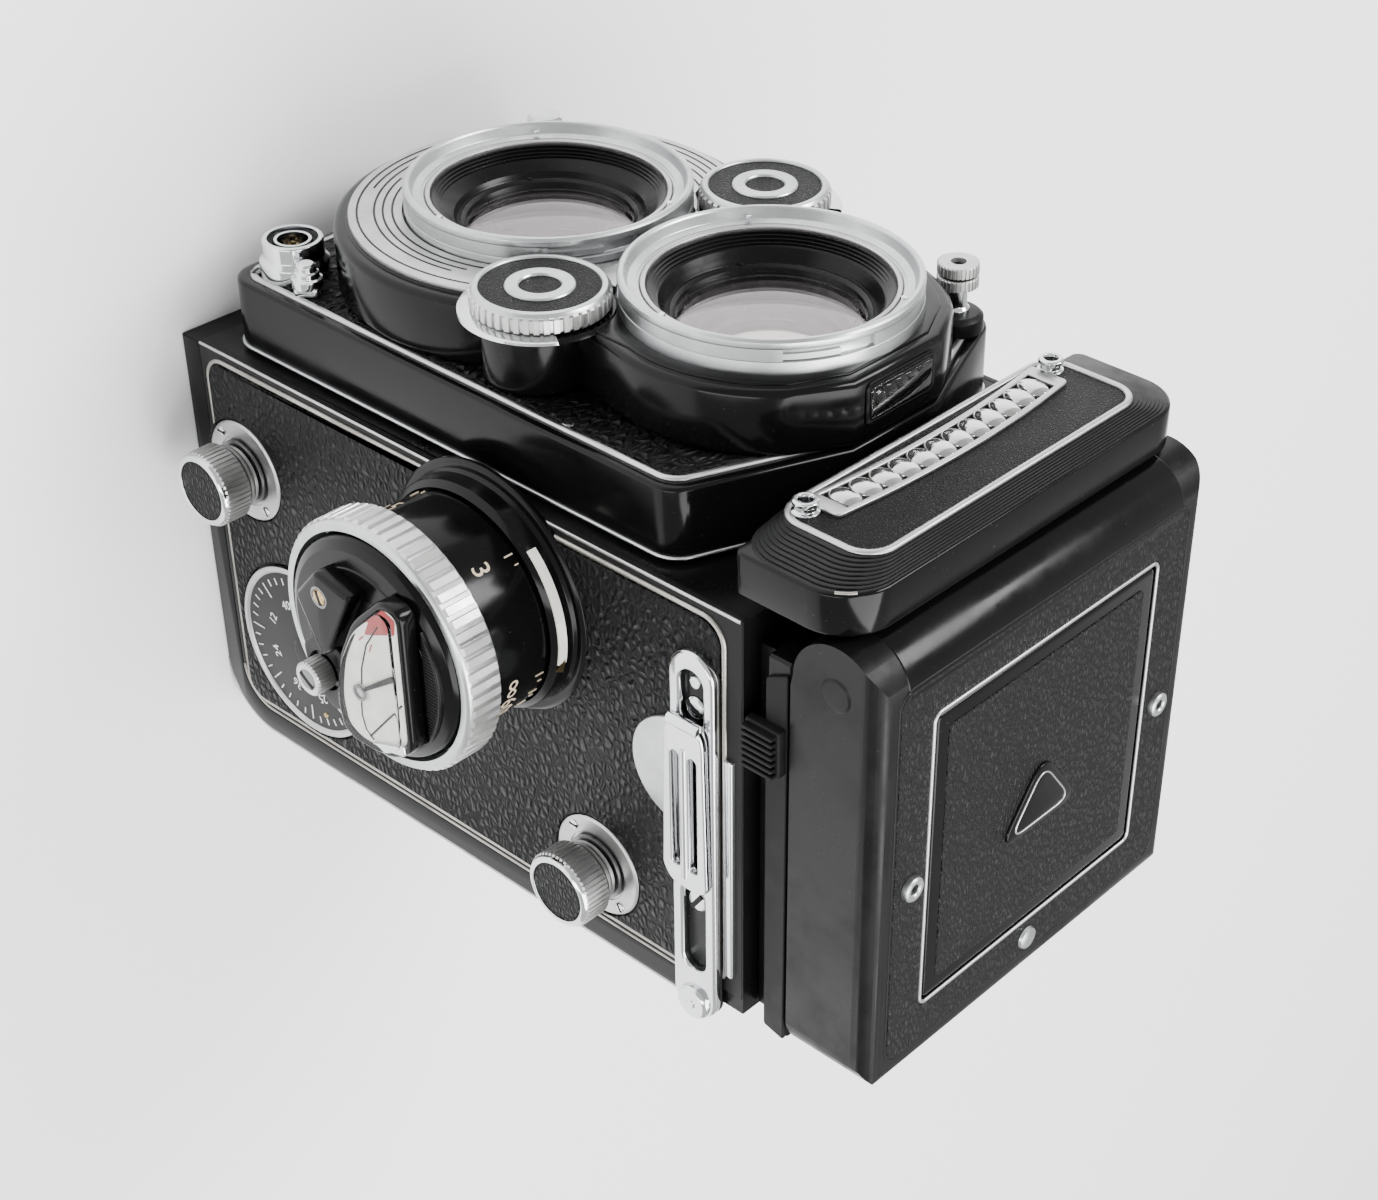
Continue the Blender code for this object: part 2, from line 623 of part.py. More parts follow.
def make_strap_clip(name, side):
    """The flat sprung clip that lies over the rail and lifts about its front end."""
    low, high = sorted((side * (HALF_WIDTH + 2.6), side * (HALF_WIDTH + 4.2)))
    outer = [(18.0, 110.4), (20.5, 109.4), (47.0, 108.8), (48.0, 110.0)]
    outer += [(48.0, 116.2), (47.0, 117.4), (20.5, 116.8), (18.0, 115.8)]
    slots = [rounded_rectangle((24.0, z - 0.7), (44.5, z + 0.7), 0.65, 3) for z in (111.4, 114.8)]
    clip = slab(name, [outer, *slots], low, high, "X")
    finish(clip, "chrome", (side * (HALF_WIDTH + 3.4), 18.6, HINGE_Z))


# --- meter housing above the lenses -------------------------------------------------------------
def make_meter_housing():
    low, high, r = 117.4, 139.6, 8.0
    right = [(24.0, low + 0.9), (30.0, low + 1.4), (36.0, low + 1.6), (38.0, low + 3.0)]
    right += corner_arc((38.0 - r, high - r), r, 0, 5)
    outline = right + [(-x, z) for x, z in reversed(right)] + [(-12.0, low - 0.6), (12.0, low - 0.6)]
    housing = slab("meter_housing", [outline], -12.4, -3.9, "Y", 0.8, 2)
    cut(housing, block("housing_underside", (-45, -4.2, 110), (45, 5, HOOD_FLOOR - 2.4)))
    join(housing, block("housing_foot", (-30, -5.0, 121.0 + GAP + 0.3), (30, 2.6, 123.4)))
    window = rounded_rectangle((-24.5, 120.3), (24.5, 127.0), 1.5, 3)
    cut(housing, slab("cell_window", [window], -15.0, -11.4, "Y"))
    finish(housing, "black_paint")
    cells = rounded_rectangle((-24.1, 120.7), (24.1, 126.6), 1.2, 3)
    strip = slab("meter_cell_lens_strip", [cells], -13.4, -11.4 - GAP, "Y", 0.3, 1)
    finish(strip, "lens_glass")


# --- folding hood -------------------------------------------------------------------------------
def make_hood_base():
    base = block("hood_base_frame", (-36.6, 4.2, HOOD_FLOOR), (36.6, 71.6, LID_BOTTOM - 0.5), 0.4, 1)
    cut(base, block("hood_opening", (-28.5, 8.5, 110), (28.5, 64.5, 140)))
    foot = block("hood_foot", (-34.8, 4.6, BODY_TOP + GAP), (34.8, 69.8, HOOD_FLOOR + 0.5))
    cut(foot, block("hood_foot_opening", (-30.0, 6.1, 110), (30.0, 66.4, 140)))
    join(base, foot)
    cut(base, block("flap_rest", (-34.6, 7.6, LID_BOTTOM - 1.6), (34.6, 69.4, LID_BOTTOM + 1.0)))
    finish(base, "black_paint")


def make_lid():
    """The lid: a shallow tray over the folded hood, its front end rolled round its hinge."""
    roll = LID_TOP - LID_PIVOT_Z
    side = [(LID_BACK, LID_BOTTOM), (LID_BACK, LID_TOP)]
    side += circle((LID_PIVOT_Y, LID_PIVOT_Z), roll, 13, 90.0, 180.0)
    side += [(LID_PIVOT_Y, LID_BOTTOM)]
    lid = slab("hood_lid", [side], -LID_HALF - 2, LID_HALF + 2, "X")
    plan = rounded_rectangle((-LID_HALF, LID_PIVOT_Y - 20), (LID_HALF, LID_BACK), 4.0, 4)
    shape_with(lid, slab("lid_plan", [plan], LID_BOTTOM - 5, LID_TOP + 5, "Z"), "INTERSECT")
    pivot = (LID_PIVOT_Y, LID_PIVOT_Z)
    hollow = block(
        "lid_hollow",
        (-LID_HALF + LID_SKIN, LID_PIVOT_Y + 3.5, LID_BOTTOM - 5),
        (LID_HALF - LID_SKIN, LID_BACK - LID_SKIN, LID_TOP - 1.9),
    )
    cut(
        lid,
        hollow,
        rod("roll_bore", (-40, *pivot), (40, *pivot), 1.8, sides=12),
        block("finder_opening", (-25.8, 10.2, LID_TOP - 5), (25.8, 62.0, LID_TOP + 5)),
    )
    finish(lid, "black_paint", (0, *pivot))
    square = rounded_rectangle((-25.5, 10.5), (25.5, 61.7), 1.6, 3)
    panel = slab("sports_finder_panel", [square], LID_TOP - 1.9, LID_TOP - 0.1, "Z", 0.4, 1)
    finish(panel, "leather", (0, *pivot))
    pin = rod("hood_hinge_pin", (-36.4, *pivot), (36.4, *pivot), 1.4, sides=16)
    finish(pin, "satin_silver")


def make_flaps():
    """The two side flaps and the rear flap, folded flat under the lid."""
    for name, side in (("knob_side", 1), ("crank_side", -1)):
        tip = FLAP_HINGE_X - FLAP_REACH
        outline = [(FLAP_HINGE_X, FLAP_FRONT), (FLAP_HINGE_X, 68.6), (FLAP_HINGE_X - 1.2, 68.6)]
        outline += [(tip, 37.0), (tip, FLAP_FRONT + 4.0), (tip + 6.0, FLAP_FRONT)]
        low, high = FLAP_HINGE_Z - 0.3, FLAP_HINGE_Z + 0.4
        flap = slab(f"{name}_hood_flap", [[(side * x, y) for x, y in outline]], low, high, "Z")
        ends = [(side * FLAP_HINGE_X, y, FLAP_HINGE_Z) for y in (FLAP_FRONT + 0.5, 66.0)]
        join(flap, rod(f"{name}_flap_knuckle", *ends, 0.9, sides=12))
        finish(flap, "matte_black", (side * FLAP_HINGE_X, 40.0, FLAP_HINGE_Z))
    low, high = REAR_FLAP_Z - 0.35, REAR_FLAP_Z + 0.35
    rear = block("rear_hood_flap", (-31.5, REAR_FLAP_Y - 16.0, low), (31.5, REAR_FLAP_Y, high))
    ends = [(x, REAR_FLAP_Y, REAR_FLAP_Z) for x in (-31.0, 31.0)]
    join(rear, rod("rear_flap_knuckle", *ends, 0.9, sides=12))
    finish(rear, "matte_black", (0, REAR_FLAP_Y, REAR_FLAP_Z))


def make_magnifier():
    """A round lens in a frame that folds under the lid."""
    pivot_y, pivot_z = 30.0, 138.7
    centre_y, ring_r = 54.0, 14.0
    low, high = pivot_z - 0.7, pivot_z + 0.7
    arm = [(-9.0, pivot_y), (9.0, pivot_y), (9.0, centre_y - 8.0), (-9.0, centre_y - 8.0)]
    frame = slab("magnifier_frame", [circle((0, centre_y), ring_r, 24)], low, high, "Z")
    join(
        frame,
        slab("magnifier_arm", [arm], low, high, "Z"),
        rod("magnifier_knuckle", (-9.0, pivot_y, pivot_z), (9.0, pivot_y, pivot_z), 1.1, sides=12),
    )
    cut(frame, rod("magnifier_hole", (0, centre_y, 100), (0, centre_y, 160), 12.3, sides=24))
    finish(frame, "black_paint", (0, pivot_y, pivot_z))
    lens = [(0.0, 1.5), (7.0, 1.15), (12.0, 0.3), (12.0, -0.5), (0.0, -0.5)]
    finish(turned("magnifier_lens", lens, (0, centre_y, pivot_z), "+Z", 24), "lens_glass")


def make_hood_catch(name, side):
    low, high = sorted((side * (36.6 + GAP), side * 39.9))
    catch = block(name, (low, 14.6, 121.8), (high, 22.4, 128.0), 0.3, 1)
    finish(catch, "matte_black")


# --- back door ----------------------------------------------------------------------------------
def door_profile():
    heel = 11.0
    outer = [(0.4, 0.0), (DOOR_BACK - heel, 0.0)]
    outer += circle((DOOR_BACK - heel, heel), heel, 8, 270.0, 90.0)[1:]
    outer += circle((HINGE_Y, HINGE_Z), 2.6, 9, 0.0, 180.0)
    inner_y, inner_z, inner_r = BODY_BACK + GAP, BODY_FLOOR - GAP, 6.7
    inner = [(inner_y, HINGE_Z - 1.0)]
    inner += list(reversed(circle((inner_y - inner_r, inner_z + inner_r), inner_r, 6, 270.0, 90.0)))
    inner += [(0.4, inner_z)]
    return outer + inner


def make_door():
    door = slab("back_door", [door_profile()], -HALF_WIDTH, HALF_WIDTH, "X")
    cut(
        door,
        block("door_back_hollow", (-34, 60.0, 14.0), (34, DOOR_BACK - DOOR_SKIN, 106.5)),
        block("door_base_hollow", (-34, 3.5, DOOR_SKIN), (34, 60.0, 12.0)),
        rod("door_socket_hole", (0, SOCKET_Y, -2), (0, SOCKET_Y, 8), 11.6, sides=28),
        rod("door_pin_hole", (-45, HINGE_Y, HINGE_Z), (45, HINGE_Y, HINGE_Z), 1.6, sides=16),
    )
    finish(door, "matte_black", (0, HINGE_Y, HINGE_Z))
    low, high = BODY_BACK + GAP, BODY_BACK + 1.5
    plate = block("pressure_plate", (-30.5, low, 15.0), (30.5, high, 76.6), 0.3, 1)
    finish(plate, "matte_black")


def make_base_fittings():
    socket = [(0.0, 7.0 - GAP), (10.6, 7.0 - GAP), (10.6, 0.0), (4.9, 0.0), (4.9, 5.2), (0.0, 5.2)]
    finish(turned("tripod_socket", socket, (0, SOCKET_Y, 0), "+Z", 24), "satin_silver")


def make_takeup_spool():
    y, z = UPPER_SPOOL
    half = 28.8
    rim = half - 0.8
    profile = [(12.6, half), (12.6, rim), (5.6, rim), (5.6, -rim), (12.6, -rim), (12.6, -half), (3.6, -half), (3.6, half)]
    finish(turned("takeup_spool", profile, (0, y, z), "+X", 20), "matte_black")
    roller = [(0.0, 30.0), (2.6, 30.0), (2.6, -30.0), (0.0, -30.0)]
    finish(turned("lower_film_roller", roller, (0, *ROLLER_AT), "+X", 12), "satin_silver")


# --- crank side ---------------------------------------------------------------------------------
def make_crank():
    out = HALF_WIDTH + GAP
    centre = (0, CRANK_Y, CRANK_Z)
    hub = [(0.0, out + 4.6), (4.6, out + 4.6), (6.0, out + 3.8), (6.0, out), (0.0, out)]
    hub = turned("crank_hub", hub, centre, "-X", 20)
    slot_low = (-50.0, CRANK_Y - 2.6, CRANK_Z - 10.0)
    slot_high = (-out - 0.8, CRANK_Y + 2.6, CRANK_Z + 10.0)
    cut(hub, block("crank_slot", slot_low, slot_high))
    finish(hub, "satin_silver")
    x0, x1 = -out - 4.0, -out - 2.2
    far, near = CRANK_Z - CRANK_ARM - 3.4, CRANK_Z + 1.6
    outline = rounded_rectangle((CRANK_Y - 2.3, far), (CRANK_Y + 2.3, near), 1.5, 4)
    arm = slab("crank_arm", [outline], x0, x1, "X", 0.3, 1)
    finish(arm, "satin_silver", ((x0 + x1) / 2, CRANK_Y, CRANK_Z))
    handle = [(0.0, 9.6), (2.8, 9.6), (3.3, 9.0), (3.3, 5.0), (2.6, 4.4), (0.0, 4.4)]
    finish(turned("crank_handle", handle, (-out, CRANK_Y, CRANK_Z - CRANK_ARM), "-X", 14), "satin_silver")


make_casting()
make_leather_panels()
make_inner_optics()
make_front_board()
make_light_shield()
make_standard()
make_lens("taking", TAKING_Z, 12.6)
make_lens("viewing", VIEWING_Z, 13.6)
make_shutter()
make_wheel("aperture_wheel", 1)
make_wheel("shutter_speed_wheel", -1)
make_front_controls()
make_focus_knob()
make_meter_readout()
make_film_speed_wheel()
make_reminder_dial()
make_spool_knob("lower", LOWER_SPOOL)
make_spool_knob("upper", UPPER_SPOOL)
for side_name, side_sign in (("knob_side", 1), ("crank_side", -1)):
    make_strap_rail(f"{side_name}_strap_rail", side_sign)
    make_strap_clip(f"{side_name}_strap_clip", side_sign)
    make_hood_catch(f"{side_name}_hood_catch", side_sign)
make_meter_housing()
make_hood_base()
make_lid()
make_flaps()
make_magnifier()
make_door()
make_base_fittings()
make_takeup_spool()
make_crank()
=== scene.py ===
"""Looks of a twin lens reflex camera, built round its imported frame.

Lengths are in millimetres in the camera body's own axes, as in the frame's design: x = 0 midway between the
side panels, y = 0 on the front plate of the casting, z = 0 on the surface the camera stands on.
"""

import math

import bmesh
import bpy
from mathutils import Matrix, Vector


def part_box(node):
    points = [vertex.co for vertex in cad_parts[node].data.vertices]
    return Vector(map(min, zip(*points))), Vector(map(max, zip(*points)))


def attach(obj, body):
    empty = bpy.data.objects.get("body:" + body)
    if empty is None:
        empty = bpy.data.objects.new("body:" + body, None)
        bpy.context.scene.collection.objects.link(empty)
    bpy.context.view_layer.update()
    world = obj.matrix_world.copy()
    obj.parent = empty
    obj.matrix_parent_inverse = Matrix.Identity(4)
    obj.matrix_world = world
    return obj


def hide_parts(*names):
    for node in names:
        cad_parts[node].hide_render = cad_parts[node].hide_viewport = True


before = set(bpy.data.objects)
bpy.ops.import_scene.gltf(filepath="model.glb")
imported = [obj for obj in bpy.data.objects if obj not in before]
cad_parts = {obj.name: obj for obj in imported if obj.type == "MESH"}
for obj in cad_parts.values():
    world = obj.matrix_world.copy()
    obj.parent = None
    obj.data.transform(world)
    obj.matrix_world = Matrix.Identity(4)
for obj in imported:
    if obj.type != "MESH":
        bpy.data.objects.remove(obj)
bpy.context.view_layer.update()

MM = 0.001
casting_low, casting_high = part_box("body_casting")
AXES = Vector(((casting_low.x + casting_high.x) / 2, casting_low.y, 0.0))


def middle(node):
    """The centre of a CAD node's box, in the body's axes and millimetres."""
    low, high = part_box(node)
    return ((low + high) / 2 - AXES) / MM


def low_high(node):
    low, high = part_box(node)
    return (low - AXES) / MM, (high - AXES) / MM


# --- driving sizes, read from the frame ---------------------------------------------------------
TAKING = middle("taking_bayonet_ring").z
VIEWING = middle("viewing_bayonet_ring").z
KNOB = middle("focus_knurled_ring")
WHEEL = middle("aperture_wheel")
DIAL = middle("film_reminder_dial")
LOWER_SPOOL = middle("lower_spool_knob")
UPPER_SPOOL = middle("upper_spool_knob")
CRANK = middle("crank_hub")
SIDE = low_high("body_casting")[1].x
BOARD_LOW, BOARD_HIGH = low_high("front_board")
STANDARD_FACE = low_high("lens_standard")[0].y
RING_LOW, RING_HIGH = low_high("taking_bayonet_ring")
LID_LOW, LID_HIGH = low_high("hood_lid")
METER_LOW, METER_HIGH = low_high("meter_housing")
METER_DEPTH = 8.5  # of the block itself; its foot reaches further back
PIVOT_Y, PIVOT_Z = 4.5, 136.9  # the hood lid's hinge pin
DOOR_HINGE = (70.8, 113.3)  # (y, z)
DOOR_BACK = 73.4
SOCKET_Y = 40.5  # the tripod socket
DRUM_R = 17.0  # the focusing drum
POINTER_LEVEL = 65.06  # of the exposure pointer, out from the middle of the camera
NEEDLE_LEVEL = 64.62  # of the follow needles and marks under it


# --- materials ----------------------------------------------------------------------------------
class Finish:
    """A Principled material and the nodes that texture it."""

    def __init__(self, name, colour, metallic=0.0, roughness=0.5):
        self.material = bpy.data.materials.new(name)
        self.material.use_nodes = True
        self.nodes = self.material.node_tree.nodes
        self.links = self.material.node_tree.links
        self.shader = self.nodes["Principled BSDF"]
        self.set("Base Color", (*colour, 1.0))
        self.set("Metallic", metallic)
        self.set("Roughness", roughness)
        self.place = self.nodes.new("ShaderNodeTexCoord").outputs["Object"]

    def set(self, name, value):
        self.shader.inputs[name].default_value = value
        return self

    def node(self, kind, **inputs):
        """A new node: its inputs are numbers, or other nodes' outputs to link."""
        made = self.nodes.new("ShaderNode" + kind)
        for name, value in inputs.items():
            socket = made.inputs[name.replace("_", " ")]
            if isinstance(value, bpy.types.NodeSocket):
                self.links.new(value, socket)
            else:
                socket.default_value = value
        return made

    def stretched(self, scale):
        return self.node("Mapping", Scale=scale, Vector=self.place).outputs["Vector"]

    def noise(self, scale, detail, roughness=0.55):
        made = self.node("TexNoise", Scale=scale, Detail=detail, Roughness=roughness, Vector=self.place)
        return made.outputs["Fac"]

    def creases(self, scale, place):
        """The distance to the edge between cells."""
        made = self.node("TexVoronoi")
        made.feature = "DISTANCE_TO_EDGE"
        made.inputs["Scale"].default_value = scale
        self.links.new(place, made.inputs["Vector"])
        return made.outputs["Distance"]

    def ramp(self, value, low, high, to_low=0.0, to_high=1.0):
        made = self.node("MapRange", Value=value, From_Min=low, From_Max=high, To_Min=to_low, To_Max=to_high)
        made.interpolation_type = "SMOOTHSTEP"
        return made.outputs["Result"]

    def facing(self, blend):
        return self.node("LayerWeight", Blend=blend).outputs["Facing"]

    def math(self, operation, a, b):
        made = self.nodes.new("ShaderNodeMath")
        made.operation = operation
        for socket, value in zip(made.inputs, (a, b)):
            if isinstance(value, (int, float)):
                socket.default_value = value
            else:
                self.links.new(value, socket)
        return made.outputs["Value"]

    def wobble(self, place, scale, amount):
        """The place, pushed about by noise, so that cells lose their regular look."""
        noise = self.node("TexNoise", Scale=scale, Vector=place)
        mix = self.nodes.new("ShaderNodeVectorMath")
        mix.operation = "MULTIPLY_ADD"
        mix.inputs[1].default_value = (amount, amount, amount)
        self.links.new(noise.outputs["Color"], mix.inputs[0])
        self.links.new(place, mix.inputs[2])
        return mix.outputs["Vector"]

    def blend(self, factor, first, second):
        """The base colour, from one tone to another."""
        mix = self.nodes.new("ShaderNodeMix")
        mix.data_type = "RGBA"
        mix.inputs[6].default_value = (*first, 1.0)
        mix.inputs[7].default_value = (*second, 1.0)
        self.links.new(factor, mix.inputs[0])
        return self.drive("Base Color", mix.outputs[2])

    def drive(self, target, value):
        self.links.new(value, self.shader.inputs[target])
        return self

    def bump(self, height, strength, distance):
        made = self.node("Bump", Strength=strength, Distance=distance * MM, Height=height)
        before = self.shader.inputs["Normal"].links
        if before:
            self.links.new(before[0].from_socket, made.inputs["Normal"])
        return self.drive("Normal", made.outputs["Normal"])


def leather(name, cell, stretch, depth):
    """Grained leather: rounded cells between creases, with finer pores on them. cell is their size in mm."""
    made = Finish(name, (0.006, 0.006, 0.0065), 0.0, 0.42)
    place = made.wobble(made.stretched(stretch), 0.6 / (cell * MM), 0.9 * cell * MM)
    crease = made.creases(1.0 / (cell * MM), place)
    pebble = made.ramp(crease, 0.0, 0.42)
    pores = made.noise(4.5 / (cell * MM), 3.0)
    wear = made.noise(90.0, 3.0)
    made.bump(pebble, 1.0, depth)
    made.bump(pores, 0.35, depth * 0.35)
    # The base colour is darker in the creases and lighter on the cell tops: painted shade in the creases, mixed
    # with a blotchy random tone.
    made.blend(made.math("MULTIPLY", pebble, wear), (0.0012, 0.0012, 0.0014), (0.0075, 0.0075, 0.0082))
    made.drive("Roughness", made.ramp(made.math("ADD", pebble, pores), 0.3, 1.6, 0.6, 0.3))
    made.set("Specular IOR Level", 0.17)
    return made.material


def enamel(name, roughness, tone=0.0024):
    """Stoved black paint: nearly a mirror, with a slight ripple, dust and faint rubbing."""
    made = Finish(name, (tone, tone, tone * 1.04), 0.0, roughness)
    ripple = made.noise(420.0, 2.0)
    rubbed = made.noise(70.0, 5.0, roughness=0.7)
    specks = made.ramp(made.noise(1900.0, 1.0), 0.74, 0.80)
    made.bump(ripple, 0.12, 0.05)
    made.drive("Roughness", made.ramp(rubbed, 0.35, 0.75, roughness * 0.8, roughness * 1.5 + 0.04))
    made.blend(specks, (tone, tone, tone * 1.04), (tone * 3 + 0.012,) * 3)
    made.set("Specular IOR Level", 0.15)
    return made.material


def metal(name, colour, roughness, grain, depth, stain=0.18):
    """Bare or plated metal, with a fine grain and the uneven tone of handling."""
    made = Finish(name, colour, 1.0, roughness)
    fine = made.noise(grain, 3.0)
    cloud = made.noise(130.0, 4.0, roughness=0.65)
    made.bump(fine, 0.5, depth)
    made.drive("Roughness", made.ramp(cloud, 0.3, 0.75, roughness * 0.8, roughness * 1.25 + 0.03))
    made.blend(made.ramp(cloud, 0.35, 0.8), colour, tuple(c * (1.0 - stain) for c in colour))
    return made.material


def matte(name, tone, roughness, tint=(1.0, 1.0, 1.0), grain=1400.0, depth=0.03):
    """Blackened or crackle-finished metal and plain painted faces."""
    made = Finish(name, tuple(tone * t for t in tint), 0.0, roughness)
    fine = made.noise(grain, 4.0, roughness=0.7)
    made.bump(fine, 0.5, depth)
    dusty = made.noise(160.0, 5.0, roughness=0.7)
    light = tuple(min(1.0, tone * t * 1.35 + 0.002) for t in tint)
    made.blend(made.ramp(dusty, 0.4, 0.8), tuple(tone * t for t in tint), light)
    made.drive("Roughness", made.ramp(dusty, 0.3, 0.8, roughness * 0.85, min(1.0, roughness * 1.1)))
    if tone < 0.1:
        made.set("Specular IOR Level", 0.15)
    return made.material


def coated_glass(name, tint, body, mirror, dark=0.12):
    """A bloomed lens: dark where it is faced squarely, and a tinted mirror at a slant."""
    made = Finish(name, body, mirror, 0.04)
    for setting, value in (("Specular IOR Level", 1.0), ("Specular Tint", (*tint, 1.0)), ("IOR", 1.75),
                           ("Coat Weight", 1.0), ("Coat Roughness", 0.02), ("Coat Tint", (*tint, 1.0))):
        made.set(setting, value)
    cloud = made.math("MULTIPLY", made.noise(60.0, 2.0), 0.12)
    shown = made.ramp(made.math("ADD", made.facing(0.5), cloud), 0.08, 0.5)
    made.blend(shown, tuple(b * dark for b in body), body)
    return made.material


def front_glass(name, tint):
    """The outermost lens: a thin coated mirror that is clearer where it is faced squarely."""
    made = Finish(name, tint, 1.0, 0.03)
    made.drive("Alpha", made.ramp(made.facing(0.35), 0.25, 1.0, 0.10, 0.62))
    smear = made.noise(160.0, 4.0)
    made.drive("Roughness", made.ramp(smear, 0.4, 0.8, 0.02, 0.07))
    return made.material


def clear_glass(name, tint=(1.0, 1.0, 1.0), roughness=0.02, bending=1.45):
    made = Finish(name, tint, 0.0, roughness)
    made.set("Transmission Weight", 1.0)
    made.set("IOR", bending)
    smear = made.noise(200.0, 4.0)
    made.drive("Roughness", made.ramp(smear, 0.45, 0.8, roughness, roughness + 0.05))
    return made.material


LEATHER = leather("body_leather", 1.2, (1.0, 0.66, 1.0), 0.34)
FRONT_LEATHER = leather("front_leather", 2.3, (1.0, 1.0, 1.7), 0.6)
LID_LEATHER = leather("lid_leather", 0.68, (1.0, 0.5, 1.0), 0.2)
FINE_LEATHER = leather("fine_leather", 0.42, (1.0, 1.0, 1.0), 0.12)
GLOSS = enamel("gloss_enamel", 0.16)
SATIN_BLACK = enamel("satin_enamel", 0.33, 0.0036)
DEEP_BLACK = enamel("lens_black", 0.3, 0.002)
MATTE_BLACK = matte("matte_black", 0.005, 0.6)
CRACKLE = matte("crackle_black", 0.006, 0.5, grain=2600.0, depth=0.08)
GREY_PLATE = matte("grey_plate", 0.012, 0.4)
SILVER = metal("satin_silver", (0.50, 0.50, 0.495), 0.36, 6000.0, 0.004)
RING_SILVER = metal("bayonet_silver", (0.52, 0.53, 0.535), 0.34, 7000.0, 0.004)
RIB_ALLOY = metal("ribbed_alloy", (0.60, 0.60, 0.59), 0.42, 5000.0, 0.006, stain=0.14)
CHROME = metal("bright_chrome", (0.68, 0.69, 0.70), 0.09, 2500.0, 0.0008, stain=0.1)
# Worn bare metal for the beads and the meter block's corner; the same colour on thin strips along the side and
# door edges is a painted highlight.
WORN_RIM_AND_EDGE_HIGHLIGHT = metal("worn_rim_and_edge_highlight", (0.40, 0.38, 0.35), 0.38, 3500.0, 0.02, stain=0.4)
DARK_STEEL = metal("dark_steel", (0.20, 0.20, 0.205), 0.34, 5000.0, 0.004)
BRASS = metal("worn_brass", (0.44, 0.32, 0.16), 0.3, 4000.0, 0.004)
WHITE_PAINT = matte("white_paint", 0.66, 0.45)
TAN_PAINT = matte("tan_paint", 0.5, 0.45, (1.0, 0.83, 0.6))
CREAM = matte("cream_dial", 0.74, 0.5, (1.0, 0.98, 0.9))
RED_PAINT = matte("red_paint", 0.27, 0.45, (1.0, 0.01, 0.006))
TAKING_GLASS = coated_glass("taking_glass", (0.90, 0.82, 0.82), (0.30, 0.255, 0.25), 0.85)
VIEWING_GLASS = coated_glass("viewing_glass", (0.97, 0.92, 0.90), (0.60, 0.55, 0.53), 0.9)
FRONT_GLASS = front_glass("front_glass", (0.78, 0.72, 0.74))
# A painted glow: the lens throats get a dim pink tone instead of plain black, for light seen inside the
# barrels.
BARREL_PAINTED_GLOW = matte("barrel_painted_glow", 0.035, 0.3, (1.0, 0.88, 0.9))
BUBBLE = coated_glass("cell_glass", (1.0, 1.0, 1.0), (0.66, 0.66, 0.65), 0.92, 0.6)
CLEAR = clear_glass("clear_glass")
WINDOW_GLASS = clear_glass("meter_window_glass", (0.97, 0.98, 0.97), 0.01, 1.12)
FROSTED = clear_glass("focusing_glass", (0.85, 0.87, 0.88), 0.35)
MIRROR = metal("silvered_mirror", (0.92, 0.93, 0.94), 0.03, 300.0, 0.001, stain=0.03)


# --- modelling helpers: shapes in mm in the body's axes -----------------------------------------
TURNS = {
    "+X": lambda u, v, h: (h, u, v),
    "-X": lambda u, v, h: (-h, u, v),
    "+Y": lambda u, v, h: (u, h, v),
    "-Y": lambda u, v, h: (u, -h, v),
    "+Z": lambda u, v, h: (u, v, h),
    "-Z": lambda u, v, h: (u, v, -h),
}


TO_WORLD = Matrix.Translation(AXES) @ Matrix.Scale(MM, 4)


def piece(name, mesh, paint, body, smooth=32.0):
    """Turns a mesh in body millimetres into a shown piece that rides on a CAD body."""
    mesh.transform(TO_WORLD)
    mesh.materials.clear()
    mesh.materials.append(paint)
    mesh.shade_smooth()
    mesh.set_sharp_from_angle(angle=math.radians(smooth))
    obj = bpy.data.objects.new(name, mesh)
    bpy.context.scene.collection.objects.link(obj)
    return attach(obj, body)


def written(bm, mesh):
    """The mesh with what was built in bm, its doubled points merged and its faces turned outward."""
    bmesh.ops.remove_doubles(bm, verts=bm.verts, dist=0.0005)
    bmesh.ops.recalc_face_normals(bm, faces=bm.faces)
    bm.to_mesh(mesh)
    bm.free()
    return mesh


def from_bmesh(name, bm, paint, body, smooth=32.0):
    return piece(name, written(bm, bpy.data.meshes.new(name)), paint, body, smooth)


def join_rings(bm, first, second):
    """A band of four-sided faces between two closed rings of as many points."""
    for i in range(len(first)):
        j = (i + 1) % len(first)
        bm.faces.new([first[i], first[j], second[j], second[i]])


def softened(points, radius, closed=True, steps=3):
    """The outline with each corner replaced by a small curve."""
    made = []
    count = len(points)
    for i, point in enumerate(points):
        if not closed and i in (0, count - 1):
            made.append(tuple(point))
            continue
        here = Vector(point)
        before = Vector(points[i - 1]) - here
        after = Vector(points[(i + 1) % count]) - here
        reach = min(radius, before.length * 0.45, after.length * 0.45)
        start = here + before.normalized() * reach
        end = here + after.normalized() * reach
        for k in range(steps + 1):
            t = k / steps
            made.append(tuple(start * (1 - t) ** 2 + here * 2 * t * (1 - t) + end * t**2))
    return made


def arc(centre, radius, start, sweep, count):
    angles = [math.radians(start + sweep * i / (count - 1)) for i in range(count)]
    return [(centre[0] + radius * math.cos(a), centre[1] + radius * math.sin(a)) for a in angles]


def circle(centre, radius, count=64):
    return arc(centre, radius, 0.0, 360.0 * (count - 1) / count, count)


def rounded_box(low, high, radius, count=8):
    (x0, y0), (x1, y1) = low, high
    r = radius
    corners = (((x1 - r, y1 - r), 0), ((x0 + r, y1 - r), 90), ((x0 + r, y0 + r), 180), ((x1 - r, y0 + r), 270))
    return [p for centre, start in corners for p in arc(centre, r, start, 90.0, count)]


def mirrored(right):
    """A whole outline from its right half, which runs from bottom to top."""
    return right + [(-x, z) for x, z in reversed(right) if abs(x) > 0.001]


